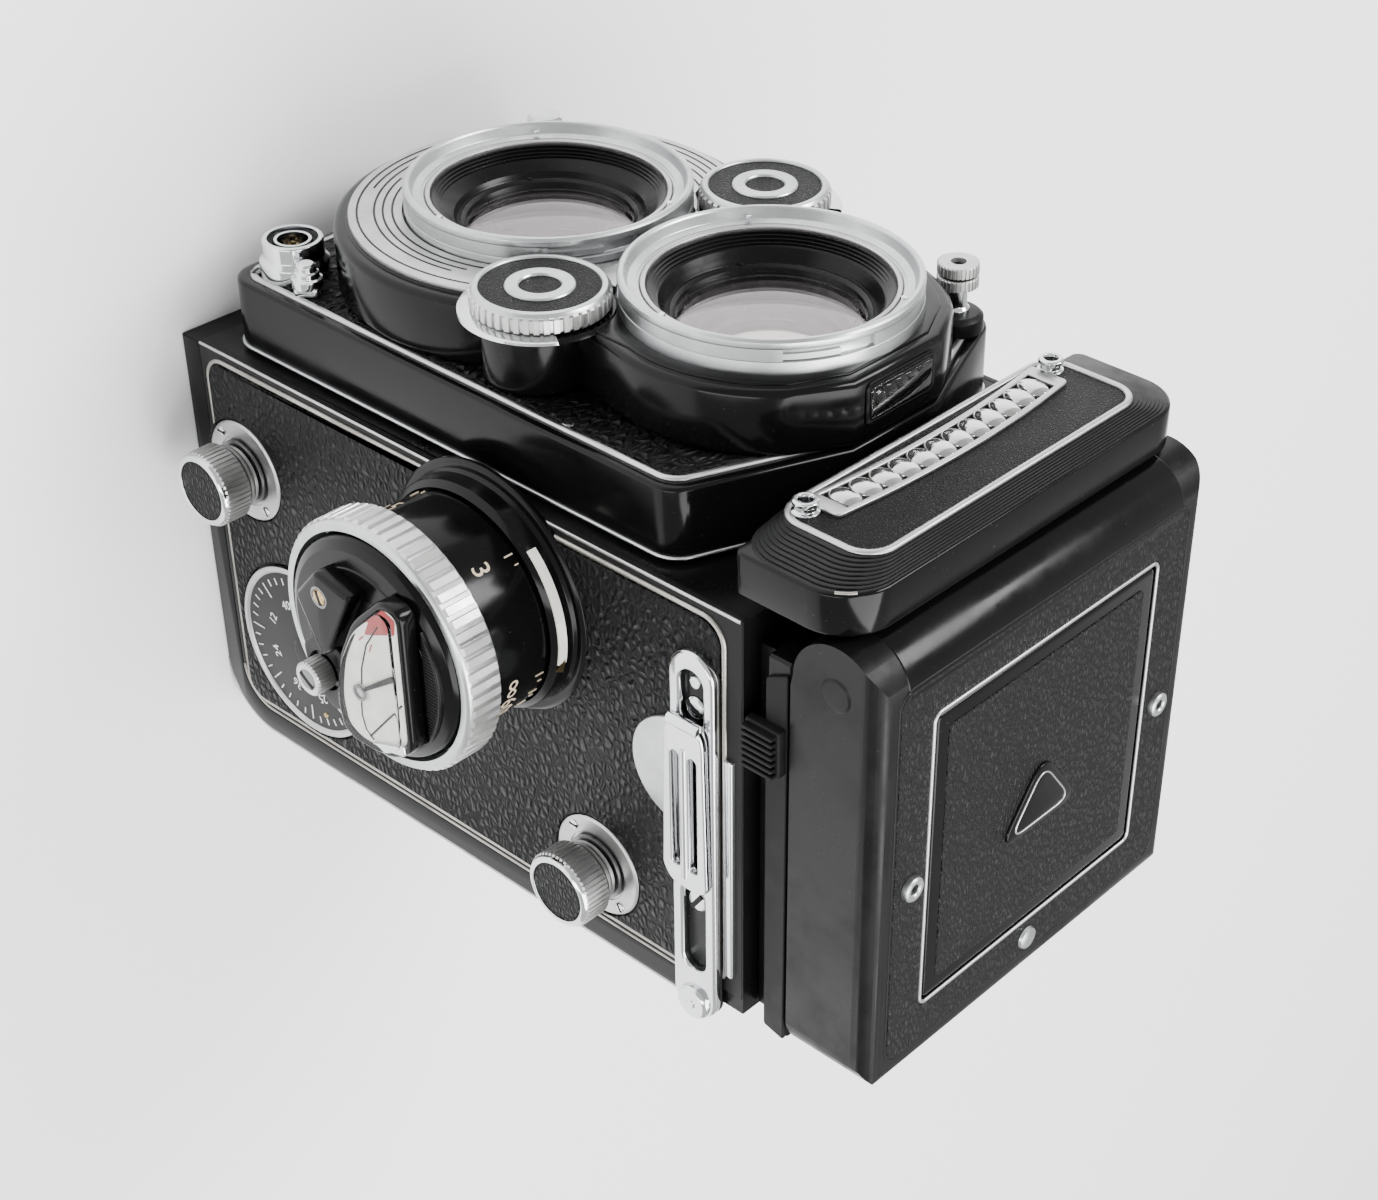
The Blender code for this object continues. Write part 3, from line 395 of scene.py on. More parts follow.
def lathe(name, profile, centre, axis, paint, body, steps, soft, smooth=32.0):
    """A turned piece from (radius, height) points; one that starts and ends at radius 0 is solid."""
    solid = profile[0][0] == 0
    points = softened(profile, soft, not solid) if soft else profile
    turn = TURNS[axis]
    bm = bmesh.new()
    rings = []
    for radius, height in points:
        if radius < 1e-6:
            rings.append([bm.verts.new(Vector(centre) + Vector(turn(0.0, 0.0, height)))])
            continue
        angles = [2 * math.pi * i / steps for i in range(steps)]
        spots = [turn(radius * math.cos(a), radius * math.sin(a), height) for a in angles]
        rings.append([bm.verts.new(Vector(centre) + Vector(s)) for s in spots])
    pairs = list(zip(rings, rings[1:] + ([] if solid else rings[:1])))
    for first, second in pairs:
        for i in range(steps):
            j = (i + 1) % steps
            corners = [first[i % len(first)], first[j % len(first)], second[j % len(second)],
                       second[i % len(second)]]
            unique = list(dict.fromkeys(corners))
            if len(unique) > 2:
                bm.faces.new(unique)
    return from_bmesh(name, bm, paint, body, smooth)


def signed_area(outline):
    return sum(a[0] * b[1] - b[0] * a[1] for a, b in zip(outline, outline[1:] + outline[:1])) / 2


def plate_mesh(name, outlines, low, high, normal, edge):
    """A flat mesh from an outline and its holes, with rounded edges, between two levels along X, Y or Z."""
    curve = bpy.data.curves.new(name, "CURVE")
    curve.dimensions = "2D"
    curve.fill_mode = "BOTH"
    edge = min(edge, (high - low) * 0.49)
    curve.extrude = (high - low) / 2 - edge
    curve.bevel_depth = edge
    curve.bevel_resolution = 2
    curve.offset = -edge
    for i, outline in enumerate(outlines):
        anticlockwise = signed_area(outline) > 0
        points = outline if anticlockwise == (i == 0) else outline[::-1]
        spline = curve.splines.new("POLY")
        spline.points.add(len(points) - 1)
        for point, (a, b) in zip(spline.points, points):
            point.co = (a, b, 0.0, 1.0)
        spline.use_cyclic_u = True
    mesh = mesh_of_curve(name, curve)
    turn = TURNS["+" + normal]
    level = (low + high) / 2
    for vertex in mesh.vertices:
        vertex.co = turn(vertex.co.x, vertex.co.y, vertex.co.z + level)
    bm = bmesh.new()
    bm.from_mesh(mesh)
    return written(bm, mesh)


def mesh_of_curve(name, curve):
    flat = bpy.data.objects.new(name + "_curve", curve)
    bpy.context.scene.collection.objects.link(flat)
    bpy.context.view_layer.update()
    mesh = bpy.data.meshes.new_from_object(flat.evaluated_get(bpy.context.evaluated_depsgraph_get()))
    bpy.data.objects.remove(flat)
    return mesh


def plate(name, outlines, low, high, normal, paint, body, edge):
    return piece(name, plate_mesh(name, outlines, low, high, normal, edge), paint, body)


def rail(name, points, radius, paint, body, closed=False, resolution=3, squash=None):
    """A round wire or bead along points."""
    curve = bpy.data.curves.new(name, "CURVE")
    curve.dimensions = "3D"
    curve.bevel_depth = radius
    curve.bevel_resolution = resolution
    curve.use_fill_caps = not closed
    spline = curve.splines.new("POLY")
    spline.points.add(len(points) - 1)
    for point, spot in zip(spline.points, points):
        point.co = (*spot, 1.0)
    spline.use_cyclic_u = closed
    mesh = mesh_of_curve(name, curve)
    if squash:
        axis, level, keep = squash
        for vertex in mesh.vertices:
            vertex.co[axis] = level + (vertex.co[axis] - level) * keep
    return piece(name, mesh, paint, body, 50.0)


def knurled(name, centre, axis, outer, inner, low, high, teeth, depth, paint, body, edge, land=0.55):
    """A ring or disc with square ribs round it; inner 0 makes it solid."""
    outline = []
    for i in range(teeth):
        for share, radius in ((0.0, outer), (land, outer), (land + 0.08, outer - depth), (0.92, outer - depth)):
            a = 2 * math.pi * (i + share) / teeth
            outline.append((radius * math.cos(a), radius * math.sin(a)))
    turn = TURNS[axis]
    bm = bmesh.new()
    count = len(outline)
    levels = [(low, -edge), (low + edge, 0.0), (high - edge, 0.0), (high, -edge)]
    rings = []
    for height, grow in levels:
        ring = []
        for x, y in outline:
            r = math.hypot(x, y)
            k = (r + grow) / r
            ring.append(bm.verts.new(Vector(centre) + Vector(turn(x * k, y * k, height))))
        rings.append(ring)
    for first, second in zip(rings, rings[1:]):
        join_rings(bm, first, second)
    if inner:
        bores = []
        for height in (low, high):
            spots = [turn(inner * math.cos(t), inner * math.sin(t), height) for t in
                     (math.atan2(y, x) for x, y in outline)]
            bores.append([bm.verts.new(Vector(centre) + Vector(s)) for s in spots])
        for i in range(count):
            j = (i + 1) % count
            bm.faces.new([rings[0][i], rings[0][j], bores[0][j], bores[0][i]])
            bm.faces.new([rings[-1][i], rings[-1][j], bores[1][j], bores[1][i]])
            bm.faces.new([bores[0][i], bores[0][j], bores[1][j], bores[1][i]])
    else:
        bm.faces.new(rings[0])
        bm.faces.new(rings[-1])
    return from_bmesh(name, bm, paint, body, 25.0)


def screw(name, centre, axis, radius, height, paint, body, slot_turn):
    """A slotted screw head: a low dome with a black bar across it, whose colour paints the shade of the groove.
    """
    profile = [(0.0, height), (radius * 0.55, height * 0.97), (radius * 0.85, height * 0.8),
               (radius, height * 0.4), (radius, 0.0), (0.0, 0.0)]
    lathe(name, profile, centre, axis, paint, body, steps=32, soft=0.05)
    turn = TURNS[axis]
    c, s = math.cos(math.radians(slot_turn)), math.sin(math.radians(slot_turn))
    half, wide = radius * 0.93, radius * 0.22
    bm = bmesh.new()
    corners = []
    for h in (height * 0.35, height + 0.02):
        for a, b in ((-half, -wide), (half, -wide), (half, wide), (-half, wide)):
            corners.append(bm.verts.new(Vector(centre) + Vector(turn(a * c - b * s, a * s + b * c, h))))
    bm.faces.new(corners[:4])
    bm.faces.new(corners[4:])
    join_rings(bm, corners[:4], corners[4:])
    # The slot is a black bar over the head: painted shade.
    from_bmesh(name + "_slot", bm, MATTE_BLACK, body, 30.0)


def lettering(name, words, size, place, paint, body, thickness):
    """Flat figures: place turns (across, up, out) in mm into the body's axes."""
    curve = bpy.data.curves.new(name, "FONT")
    curve.body = words
    curve.size = size
    curve.align_x = "CENTER"
    curve.align_y = "CENTER"
    curve.extrude = thickness
    curve.resolution_u = 4
    mesh = mesh_of_curve(name, curve)
    for vertex in mesh.vertices:
        vertex.co = place(vertex.co.x, vertex.co.y, vertex.co.z)
    bm = bmesh.new()
    bm.from_mesh(mesh)
    bpy.data.meshes.remove(mesh)
    return from_bmesh(name, bm, paint, body)


def sector(name, profile, centre, axis, start, sweep, paint, body, steps=40):
    """Part of a turned ring: a closed (radius, height) profile swept through some degrees, with flat ends."""
    turn = TURNS[axis]
    bm = bmesh.new()
    rings = []
    for i in range(steps + 1):
        a = math.radians(start + sweep * i / steps)
        spots = [turn(r * math.cos(a), r * math.sin(a), h) for r, h in profile]
        rings.append([bm.verts.new(Vector(centre) + Vector(s)) for s in spots])
    for first, second in zip(rings, rings[1:]):
        join_rings(bm, first, second)
    bm.faces.new(rings[0])
    bm.faces.new(rings[-1])
    return from_bmesh(name, bm, paint, body)


def band(inner, outer, low, high):
    return [(inner, low), (outer, low), (outer, high), (inner, high)]


def rectangle(low, high):
    return [(low[0], low[1]), (high[0], low[1]), (high[0], high[1]), (low[0], high[1])]


def box_piece(name, low, high, paint, body, edge):
    """A block with rounded edges."""
    outline = softened(rectangle(low, high), edge * 1.6)
    return plate(name, [outline], low[2], high[2], "Z", paint, body, edge)


# --- floor, light and camera --------------------------------------------------------------------
SKY = 0.9
LAMPS = (  # name, place and size in metres, watts
    ("key", (-0.75, -0.9, 1.25), (0.8, 0.6), 36.0),
    ("top", (0.25, 0.45, 1.5), (1.5, 1.1), 53.0),
    ("side", (1.3, 0.1, 0.5), (0.3, 0.9), 8.0),
)
FLOOR_REACH = 30.0
EYE = Vector((235.54, -182.0, 302.71))  # the camera, in body millimetres
AHEAD = Vector((-0.6272, 0.5741, -0.5263)).normalized()
ACROSS = Vector((-0.6547, -0.0225, 0.7556))


def stage_and_light():
    floor = bpy.data.meshes.new("floor")
    corners = [(x * FLOOR_REACH, y * FLOOR_REACH, 0.0) for x, y in ((-1, -1), (1, -1), (1, 1), (-1, 1))]
    floor.from_pydata(corners, [], [(0, 1, 2, 3)])
    paper = Finish("white_paper", (0.93, 0.93, 0.94), 0.0, 0.45)
    paper.bump(paper.noise(900.0, 3.0), 0.05, 0.02)
    floor.materials.append(paper.material)
    ground = bpy.data.objects.new("floor", floor)
    ground.location.z = -0.00005
    bpy.context.scene.collection.objects.link(ground)

    world = bpy.data.worlds.new("studio")
    world.use_nodes = True
    sky = world.node_tree.nodes["Background"]
    sky.inputs["Color"].default_value = (1.0, 1.0, 1.0, 1.0)
    sky.inputs["Strength"].default_value = SKY
    bpy.context.scene.world = world
    for name, place, size, power in LAMPS:
        light = bpy.data.lights.new(name, "AREA")
        light.shape = "RECTANGLE"
        light.size, light.size_y = size
        light.energy = power
        lamp = bpy.data.objects.new(name, light)
        lamp.location = place
        lamp.rotation_euler = (Vector((0.0, 0.0, 0.06)) - Vector(place)).to_track_quat("-Z", "Y").to_euler()
        bpy.context.scene.collection.objects.link(lamp)


def make_camera():
    """Seen from above and to the left of the lenses, rolled as if the camera lay on its back."""
    right = (ACROSS - AHEAD * ACROSS.dot(AHEAD)).normalized()
    up = right.cross(AHEAD)
    lens = bpy.data.cameras.new("camera")
    lens.sensor_width = 36.0
    lens.lens = 64.0
    lens.shift_x = -0.1058
    lens.shift_y = 0.0452
    lens.clip_start = 0.02
    camera = bpy.data.objects.new("camera", lens)
    turned = Matrix((right, up, -AHEAD)).transposed().to_4x4()
    camera.matrix_world = Matrix.Translation(AXES + EYE * MM) @ turned
    bpy.context.scene.collection.objects.link(camera)
    bpy.context.scene.camera = camera


# --- finishes of the CAD nodes that are shown as they are ---------------------------------------
NODE_FINISH = {
    "body_casting": SATIN_BLACK,
    "light_shield_box": MATTE_BLACK,
    "reflex_mirror": MIRROR,
    "focusing_screen": FROSTED,
    "shutter_block": MATTE_BLACK,
    "pressure_plate": MATTE_BLACK,
    "hood_hinge_pin": SILVER,
    "takeup_spool": MATTE_BLACK,
    "lower_film_roller": SILVER,
    "hood_base_frame": SATIN_BLACK,
    "knob_side_hood_flap": MATTE_BLACK,
    "crank_side_hood_flap": MATTE_BLACK,
    "rear_hood_flap": MATTE_BLACK,
    "back_door": SATIN_BLACK,
}


def finish_nodes():
    for name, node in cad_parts.items():
        paint = NODE_FINISH.get(name, GLOSS)
        node.data.materials.clear()
        node.data.materials.append(paint)
        for polygon in node.data.polygons:
            polygon.material_index = 0


# --- lenses and their standard ------------------------------------------------------------------
def lens_group(name, z, glass_r, glass_paint):
    """One lens: a bayonet ring with lugs, a barrel ridged like a thread, and a clear glass over a second."""
    at = (0.0, 0.0, z)
    face, seat = -RING_LOW.y, -RING_HIGH.y
    ride = "front_standard"
    ring = [(21.6, face), (22.0, face - 0.4), (22.0, face - 1.3), (21.3, face - 1.5), (21.3, face - 3.1),
            (22.0, face - 3.3), (22.0, seat + 0.1), (21.0, seat), (21.0, seat - 1.5), (18.7, seat - 1.5),
            (18.7, face - 2.3), (19.0, face - 2.0), (19.5, face - 2.1), (20.5, face - 1.7), (20.9, face - 0.3),
            (21.1, face)]
    main = lathe(name + "_bayonet", ring, at, "-Y", RING_SILVER, ride, 160, 0.1)
    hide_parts(name + "_bayonet_ring")
    for i, start in enumerate((-38.0, 82.0, 202.0)):
        lug = [(21.0, face - 3.22), (21.95, face - 3.22), (21.95, face - 1.38), (21.0, face - 1.38)]
        sector(f"{name}_bayonet_lug_{i}", lug, at, "-Y", start, 84.0, RING_SILVER, ride)
        step = [(21.0, face - 3.05), (21.7, face - 3.05), (21.7, face - 2.2), (21.0, face - 2.2)]
        sector(f"{name}_bayonet_step_{i}", step, at, "-Y", start + 84.0, 22.0, RING_SILVER, ride, 16)
        mark = math.radians(start + 30.0)
        dot = (19.75 * math.cos(mark), 0.0, z + 19.75 * math.sin(mark))
        lathe(f"{name}_bayonet_pin_{i}", [(0.0, face - 0.75), (0.45, face - 0.8), (0.55, face - 1.1),
                                          (0.0, face - 1.3)], dot, "-Y", CHROME, ride, 20, 0.0)
    lip = [(18.7, face - 1.9), (18.7, face - 2.6), (18.0, face - 2.6), (18.0, face - 2.0), (18.3, face - 1.8)]
    lathe(name + "_inner_rim", lip, at, "-Y", SILVER, ride, 128, 0.08)
    tube = [(18.2, face - 2.6), (18.2, seat - 8.0), (glass_r - 0.6, seat - 8.0), (glass_r - 0.6, face - 8.4),
            (glass_r + 0.25, face - 6.6), (glass_r + 0.9, face - 6.2), (glass_r + 1.5, face - 6.4),
            (glass_r + 1.7, face - 6.0)]
    foot, top = (glass_r + 2.0, face - 5.5), (16.2, face - 4.4)
    tube += [foot, top]
    for i in range(4):
        level = face - 4.2 + 0.45 * i
        reach = 16.5 + 0.33 * i
        tube += [(reach, level), (reach + 0.28, level + 0.12), (reach + 0.28, level + 0.3),
                 (reach + 0.05, level + 0.38)]
    barrel = lathe(name + "_barrel", tube, at, "-Y", DEEP_BLACK, ride, 128, 0.05, 25.0)
    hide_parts(name + "_lens_barrel")
    # The spanner holes are small black discs on the barrel: painted shade in place of holes.
    for i in range(2):
        a = math.radians(60.0 + 180.0 * i)
        spot = ((glass_r + 1.1) * math.cos(a), 0.0, z + (glass_r + 1.1) * math.sin(a))
        lathe(f"{name}_spanner_hole_{i}", [(0.0, face - 6.05), (0.4, face - 6.05), (0.4, face - 6.6),
                                           (0.0, face - 6.6)], spot, "-Y", MATTE_BLACK, ride, 16, 0.0)
    crown, sag = face - 5.4, 1.7
    dome = [(glass_r * k / 14, crown - sag * (k / 14) ** 2) for k in range(15)]
    dome += [(glass_r, crown - sag - 1.0), (0.0, crown - sag - 1.0)]
    glass = lathe(name + "_glass", dome, at, "-Y", FRONT_GLASS, ride, 128, 0.0, 40.0)
    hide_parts(name + "_front_glass")
    throat, deep = glass_r - 0.6, crown - sag - 1.1
    cone = [(throat, deep), (throat - 0.5, deep - 0.3), (throat - 1.2, deep - 1.0), (throat - 1.6, deep - 1.0),
            (throat - 1.9, deep - 2.2), (throat - 1.9, deep - 4.6), (throat, deep - 4.6)]
    # The throat carries the painted glow.
    lathe(name + "_throat", cone, at, "-Y", BARREL_PAINTED_GLOW, ride, 128, 0.05, 25.0)
    inner, rise = throat - 1.95, deep - 1.9
    lens = [(inner * k / 14, rise - 1.5 * (k / 14) ** 2) for k in range(15)]
    lens += [(inner, rise - 2.6), (0.0, rise - 2.6)]
    lathe(name + "_inner_lens", lens, at, "-Y", glass_paint, ride, 128, 0.0, 40.0)


def board_right(inset):
    """The right half of the front board's outline, from its lower edge to its top facet."""
    half, low, shoulder, peak = 35.0 - inset, 9.2 + inset, 106.5 - inset, 115.4 - inset
    r = max(1.0, 5.0 - inset * 0.6)
    right = arc((half - r, low + r), r, 270.0, 90.0, 10)
    right += arc((half - r, shoulder - r), r, 0.0, 72.0, 9)
    return right + [(9.4 - inset * 0.25, peak)]


def standard_outline(grow=0.0):
    """A large disc, a smaller one above it and shoulders for the wheels."""
    big, small = 32.8 + grow, 26.2 + grow
    lower = math.degrees(math.atan2(17.7, 27.5))
    right = arc((0.0, TAKING), big, -90.0, 90.0 + lower, 48)
    right += arc((WHEEL.x, WHEEL.z - 1.0), 8.6 + grow, -20.0, 110.0, 20)
    right += arc((0.0, VIEWING), small, -12.0, 60.0, 24)
    right += [(9.4 + grow * 0.5, 115.4 + grow)]
    return mirrored(right)


def face_plate_outline():
    """The silver plate round the taking lens and up between the wheels, seen from the front."""
    made = []
    for i in range(240):
        a = 2 * math.pi * i / 240
        c, s = math.cos(a), math.sin(a)
        reach = 30.4  # the plate's own radius
        if s > 0.3:
            side = 14.6 / max(abs(c), 1e-6)
            reach = max(reach, min(side, (84.0 - TAKING) / s))
        stops = [(0.0, VIEWING, 22.5), (WHEEL.x, WHEEL.z, 11.0), (-WHEEL.x, WHEEL.z, 11.0)]
        for x, z, r in stops:
            along = x * c + (z - TAKING) * s
            off = x * x + (z - TAKING) ** 2 - along * along
            if along > 0 and off < r * r:
                reach = min(reach, along - math.sqrt(r * r - off))
        made.append((reach * c, TAKING + reach * s))
    return made


def make_standard():
    ride = "front_standard"
    front = STANDARD_FACE
    bores = [circle((0, TAKING), 21.2), circle((0, VIEWING), 21.2)]
    body = plate("standard", [standard_outline(), *bores], front, -12.3, "Y", GLOSS, ride, 1.1)
    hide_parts("lens_standard")
    rim = standard_outline(-1.9)
    plate("standard_step", [rim, *bores], front - 0.28, front + 0.5, "Y", GLOSS, ride, 0.25)
    silver = plate("face_plate", [face_plate_outline(), circle((0, TAKING), 22.3)], -23.7, -22.7, "Y", SILVER,
                   ride, 0.14)
    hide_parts("lens_face_plate")
    for i, (r, start, sweep) in enumerate(((23.6, 128, 296), (25.0, 150, 118), (25.0, 292, 86), (26.3, 143, 60),
                                           (26.3, 224, 150), (27.6, 150, 96), (27.6, 262, 40),
                                           (28.9, 152, 232))):
        sector(f"face_groove_{i}", band(r, r + 0.34, 23.6, 23.74), (0, 0, TAKING), "-Y", start, sweep,
               DEEP_BLACK, ride, 60)
    for i, side in enumerate((1, -1)):
        x = side * WHEEL.x
        boss = [(11.3, 22.5), (10.7, 23.05), (8.8, 23.05), (8.8, 22.5)]
        lathe(f"wheel_boss_{i}", boss, (x, 0, WHEEL.z), "-Y", GLOSS, ride, 72, 0.1)
    lever = [(9.0, 22.5), (11.6, 22.5), (12.0, 22.8), (11.9, 23.15), (11.5, 23.3), (9.0, 23.3)]
    for name, x, start in (("stop_lever", WHEEL.x, -70.0), ("speed_lever", -WHEEL.x, 122.0)):
        sector(name, lever, (x, 0, WHEEL.z), "-Y", start, 128.0, CHROME, ride, 40)
    plate("hook_lever", [softened([(-9.8, 67.2), (-6.2, 65.6), (-5.0, 66.8), (-7.6, 69.2), (-10.2, 69.4)],
                                  0.6)], -24.2, -23.6, "Y", CHROME, ride, 0.1)
    for i, x in enumerate((-12.2, 12.2)):
        lathe(f"neck_screw_{i}", [(0.0, 24.0), (0.9, 23.9), (1.1, 23.7), (1.1, 23.5), (0.0, 23.5)],
              (x, 0, 66.0), "-Y", CHROME, ride, 24, 0.0)
    low, high = 115.3, 115.75
    frame_outline = rounded_box((-7.4, -21.4), (7.4, -14.6), 1.2)
    pane = rounded_box((-6.6, -20.6), (6.6, -15.4), 0.8)
    plate("value_window_frame", [frame_outline, pane], low, high, "Z", GLOSS, ride, 0.12)
    plate("value_window_card", [rounded_box((-6.7, -20.7), (6.7, -15.3), 0.8)], 114.6, 115.2, "Z", MATTE_BLACK,
          ride, 0.05)
    for i, (words, x) in enumerate((("8", -4.2), ("11", -0.3), ("22", 4.2))):
        lettering(f"value_{i}", words, 2.1, lambda u, v, w, x=x: (x - u, -18.0 - v, 115.22 + w), WHITE_PAINT,
                  ride, 0.02)
    plate("value_window_glass", [rounded_box((-6.6, -20.6), (6.6, -15.4), 0.8)], 115.3, 115.95, "Z", CLEAR,
          ride, 0.25)


def make_board():
    ride = "front_standard"
    front, back = BOARD_LOW.y, BOARD_HIGH.y
    walls = plate("board_walls", [mirrored(board_right(0.0)), mirrored(board_right(2.2))], front, back, "Y",
                  GLOSS, ride, 0.6)
    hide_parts("front_board")
    ports = [circle((0, TAKING), 24.3), circle((0, VIEWING), 18.0)]
    plate("board_face", [mirrored(board_right(1.6)), *ports], front + 0.12, front + 2.0, "Y", GLOSS, ride, 0.1)
    plate("board_leather", [mirrored(board_right(3.1)), *ports], front - 0.36, front + 0.3, "Y", FRONT_LEATHER,
          ride, 0.3)
    right = board_right(2.3)
    left = [(-x, z) for x, z in reversed(right)]
    line = [(x, front - 0.05, z) for x, z in left + right]
    rail("board_trim", line, 0.62, SILVER, ride, squash=(1, front - 0.05, 0.75))
    foot = [(x, back - 0.7, z) for x, z in mirrored(board_right(-0.05))]
    rail("board_foot_line", foot, 0.3, RING_SILVER, ride, True)


def make_wheel(name, side):
    at = (side * WHEEL.x, 0.0, WHEEL.z)
    grip = knurled(name + "_grip", at, "-Y", 10.2, 8.4, 23.4, 26.0, 44, 0.42, RIB_ALLOY, name, 0.3)
    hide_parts(name)
    top = [(9.95, 25.9), (9.6, 26.5), (8.9, 26.6), (8.7, 26.35), (8.7, 25.0), (9.6, 25.0)]
    lathe(name + "_rim", top, at, "-Y", RING_SILVER, name, 96, 0.12)
    lathe(name + "_cover", [(8.75, 26.25), (5.0, 26.25), (5.0, 24.6), (8.75, 24.6)], at, "-Y", FINE_LEATHER,
          name, 72, 0.15)
    lathe(name + "_hub", [(5.1, 26.35), (4.9, 26.6), (3.2, 26.6), (3.0, 26.3), (3.0, 24.4), (5.1, 24.4)], at,
          "-Y", RING_SILVER, name, 64, 0.08)
    dish = [(0.0, 26.1), (3.1, 26.2), (3.1, 24.4), (0.0, 24.4)]
    lathe(name + "_dish", dish, at, "-Y", FINE_LEATHER, name, 64, 0.05)
    lathe(name + "_shaft", [(0.0, 24.6), (2.2, 24.6), (2.2, 14.0), (0.0, 14.0)], at, "-Y", DARK_STEEL, name, 24,
          0.0)


def make_front_controls():
    at = (middle("release_button").x, 0.0, middle("release_button").z)
    face = -low_high("release_button")[0].y
    button = [(0.0, face - 0.5), (1.4, face - 0.35), (2.5, face), (3.0, face - 0.5), (3.0, face - 3.0),
              (2.4, face - 3.4), (1.3, face - 3.4), (1.3, face - 11.8), (0.0, face - 11.8)]
    made = lathe("release", button, at, "-Y", CHROME, "release_button", 48, 0.12)
    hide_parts("release_button")
    lathe("release_collar", [(4.4, 12.2), (4.4, 13.2), (3.9, 13.7), (2.2, 13.9), (1.6, 13.6), (1.6, 12.2)], at,
          "-Y", RING_SILVER, "front_standard", 48, 0.1)
    at = (middle("sync_socket").x, 0.0, middle("sync_socket").z)
    outer = [(5.4, 12.2), (5.4, 14.7), (4.7, 15.5), (4.7, 18.0), (4.5, 18.2), (3.9, 18.2), (3.9, 12.2)]
    shell = lathe("socket_shell", outer, at, "-Y", CHROME, "front_standard", 56, 0.12)
    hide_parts("sync_socket")
    for name, profile, paint, steps, soft in (
        ("insulator", [(3.95, 17.4), (3.1, 17.4), (3.1, 12.2), (3.95, 12.2)], MATTE_BLACK, 48, 0.05),
        ("sleeve", [(2.9, 17.9), (2.4, 17.9), (2.4, 12.2), (2.9, 12.2)], CHROME, 40, 0.08),
        ("contact", [(0.0, 13.4), (2.3, 13.4), (2.3, 12.2), (0.0, 12.2)], BRASS, 32, 0.05),
        ("pin", [(0.0, 15.6), (0.4, 15.4), (0.4, 13.3), (0.0, 13.3)], BRASS, 16, 0.0),
    ):
        lathe(f"socket_{name}", profile, at, "-Y", paint, "front_standard", steps, soft)
    at = (middle("socket_lock_lever").x, 0.0, middle("socket_lock_lever").z)
    star = []
    for i, reach in enumerate((3.0, 1.9, 2.7, 1.8, 3.1, 2.0, 2.6, 1.8)):
        a = math.radians(-100.0 + 45.0 * i)
        star.append((at[0] + reach * math.cos(a), at[2] + reach * math.sin(a)))
    lever = plate("lock_star", [softened(star, 0.9, steps=5)], -13.9, -12.35, "Y", CHROME, "socket_lock_lever",
                  0.25)
    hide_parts("socket_lock_lever")
    stud = [(0.0, 17.4), (1.1, 17.4), (1.5, 17.0), (1.5, 16.2), (1.9, 16.0), (1.9, 15.2), (2.4, 15.0),
            (2.4, 13.6), (0.0, 13.6)]
    lathe("lock_stud", stud, at, "-Y", CHROME, "socket_lock_lever", 48, 0.1)
    at = (middle("self_timer_lever").x, 0.0, middle("self_timer_lever").z)
    base = [(0.0, 15.2), (3.5, 15.2), (4.2, 14.6), (4.3, 12.4), (0.0, 12.4)]
    foot = lathe("timer_base", base, at, "-Y", SATIN_BLACK, "self_timer_lever", 48, 0.15)
    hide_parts("self_timer_lever")
    lathe("timer_stem", [(0.0, 20.0), (1.6, 20.0), (1.6, 16.2), (2.0, 15.8), (2.0, 15.0), (0.0, 15.0)], at,
          "-Y", CHROME, "self_timer_lever", 40, 0.1)
    for name, low in (("low", 19.4), ("high", 21.5)):
        knurled(f"timer_ring_{name}", at, "-Y", 3.2, 1.2, low, low + 1.7, 30, 0.2, RIB_ALLOY,
                "self_timer_lever", 0.15)
    dish = [(0.0, 22.3), (1.5, 22.5), (2.5, 23.1), (2.7, 23.0), (2.7, 21.0), (0.0, 21.0)]
    lathe("timer_dish", dish, at, "-Y", SATIN_BLACK, "self_timer_lever", 40, 0.08)
    screw("board_disc", (-31.2, -12.3, 95.5), "-Y", 1.5, 0.6, CHROME, "front_standard", 30.0)
    for i, (x, z) in enumerate(((-31.5, 12.9), (31.5, 12.9), (-31.6, 82.0), (31.6, 82.0))):
        screw(f"board_screw_{i}", (x, -12.3, z), "-Y", 0.95, 0.35, DARK_STEEL, "front_standard", 25.0 * i)


# --- body sides ---------------------------------------------------------------------------------
def side_outline(grow):
    """The casting's side, (y, z), with its round heel."""
    r = 7.0
    heel = arc((61.7, 4.7 + r), r + grow, -90.0, 90.0, 16)
    return [(-grow, 4.7 - grow), *heel, (68.7 + grow, 109.3), (67.6, 109.3), (67.6, 120.8), (-grow, 120.8)]


def leather_outline(inset=0.0):
    low, high = (2.3 + inset, 6.9 + inset), (66.4 - inset, 117.2 - inset)
    return rounded_box(low, high, max(0.6, 3.4 - inset), 10)


def side_levels(side, low, high):
    """Two levels outward from a side, as low and high along X."""
    return sorted((side * low, side * high))


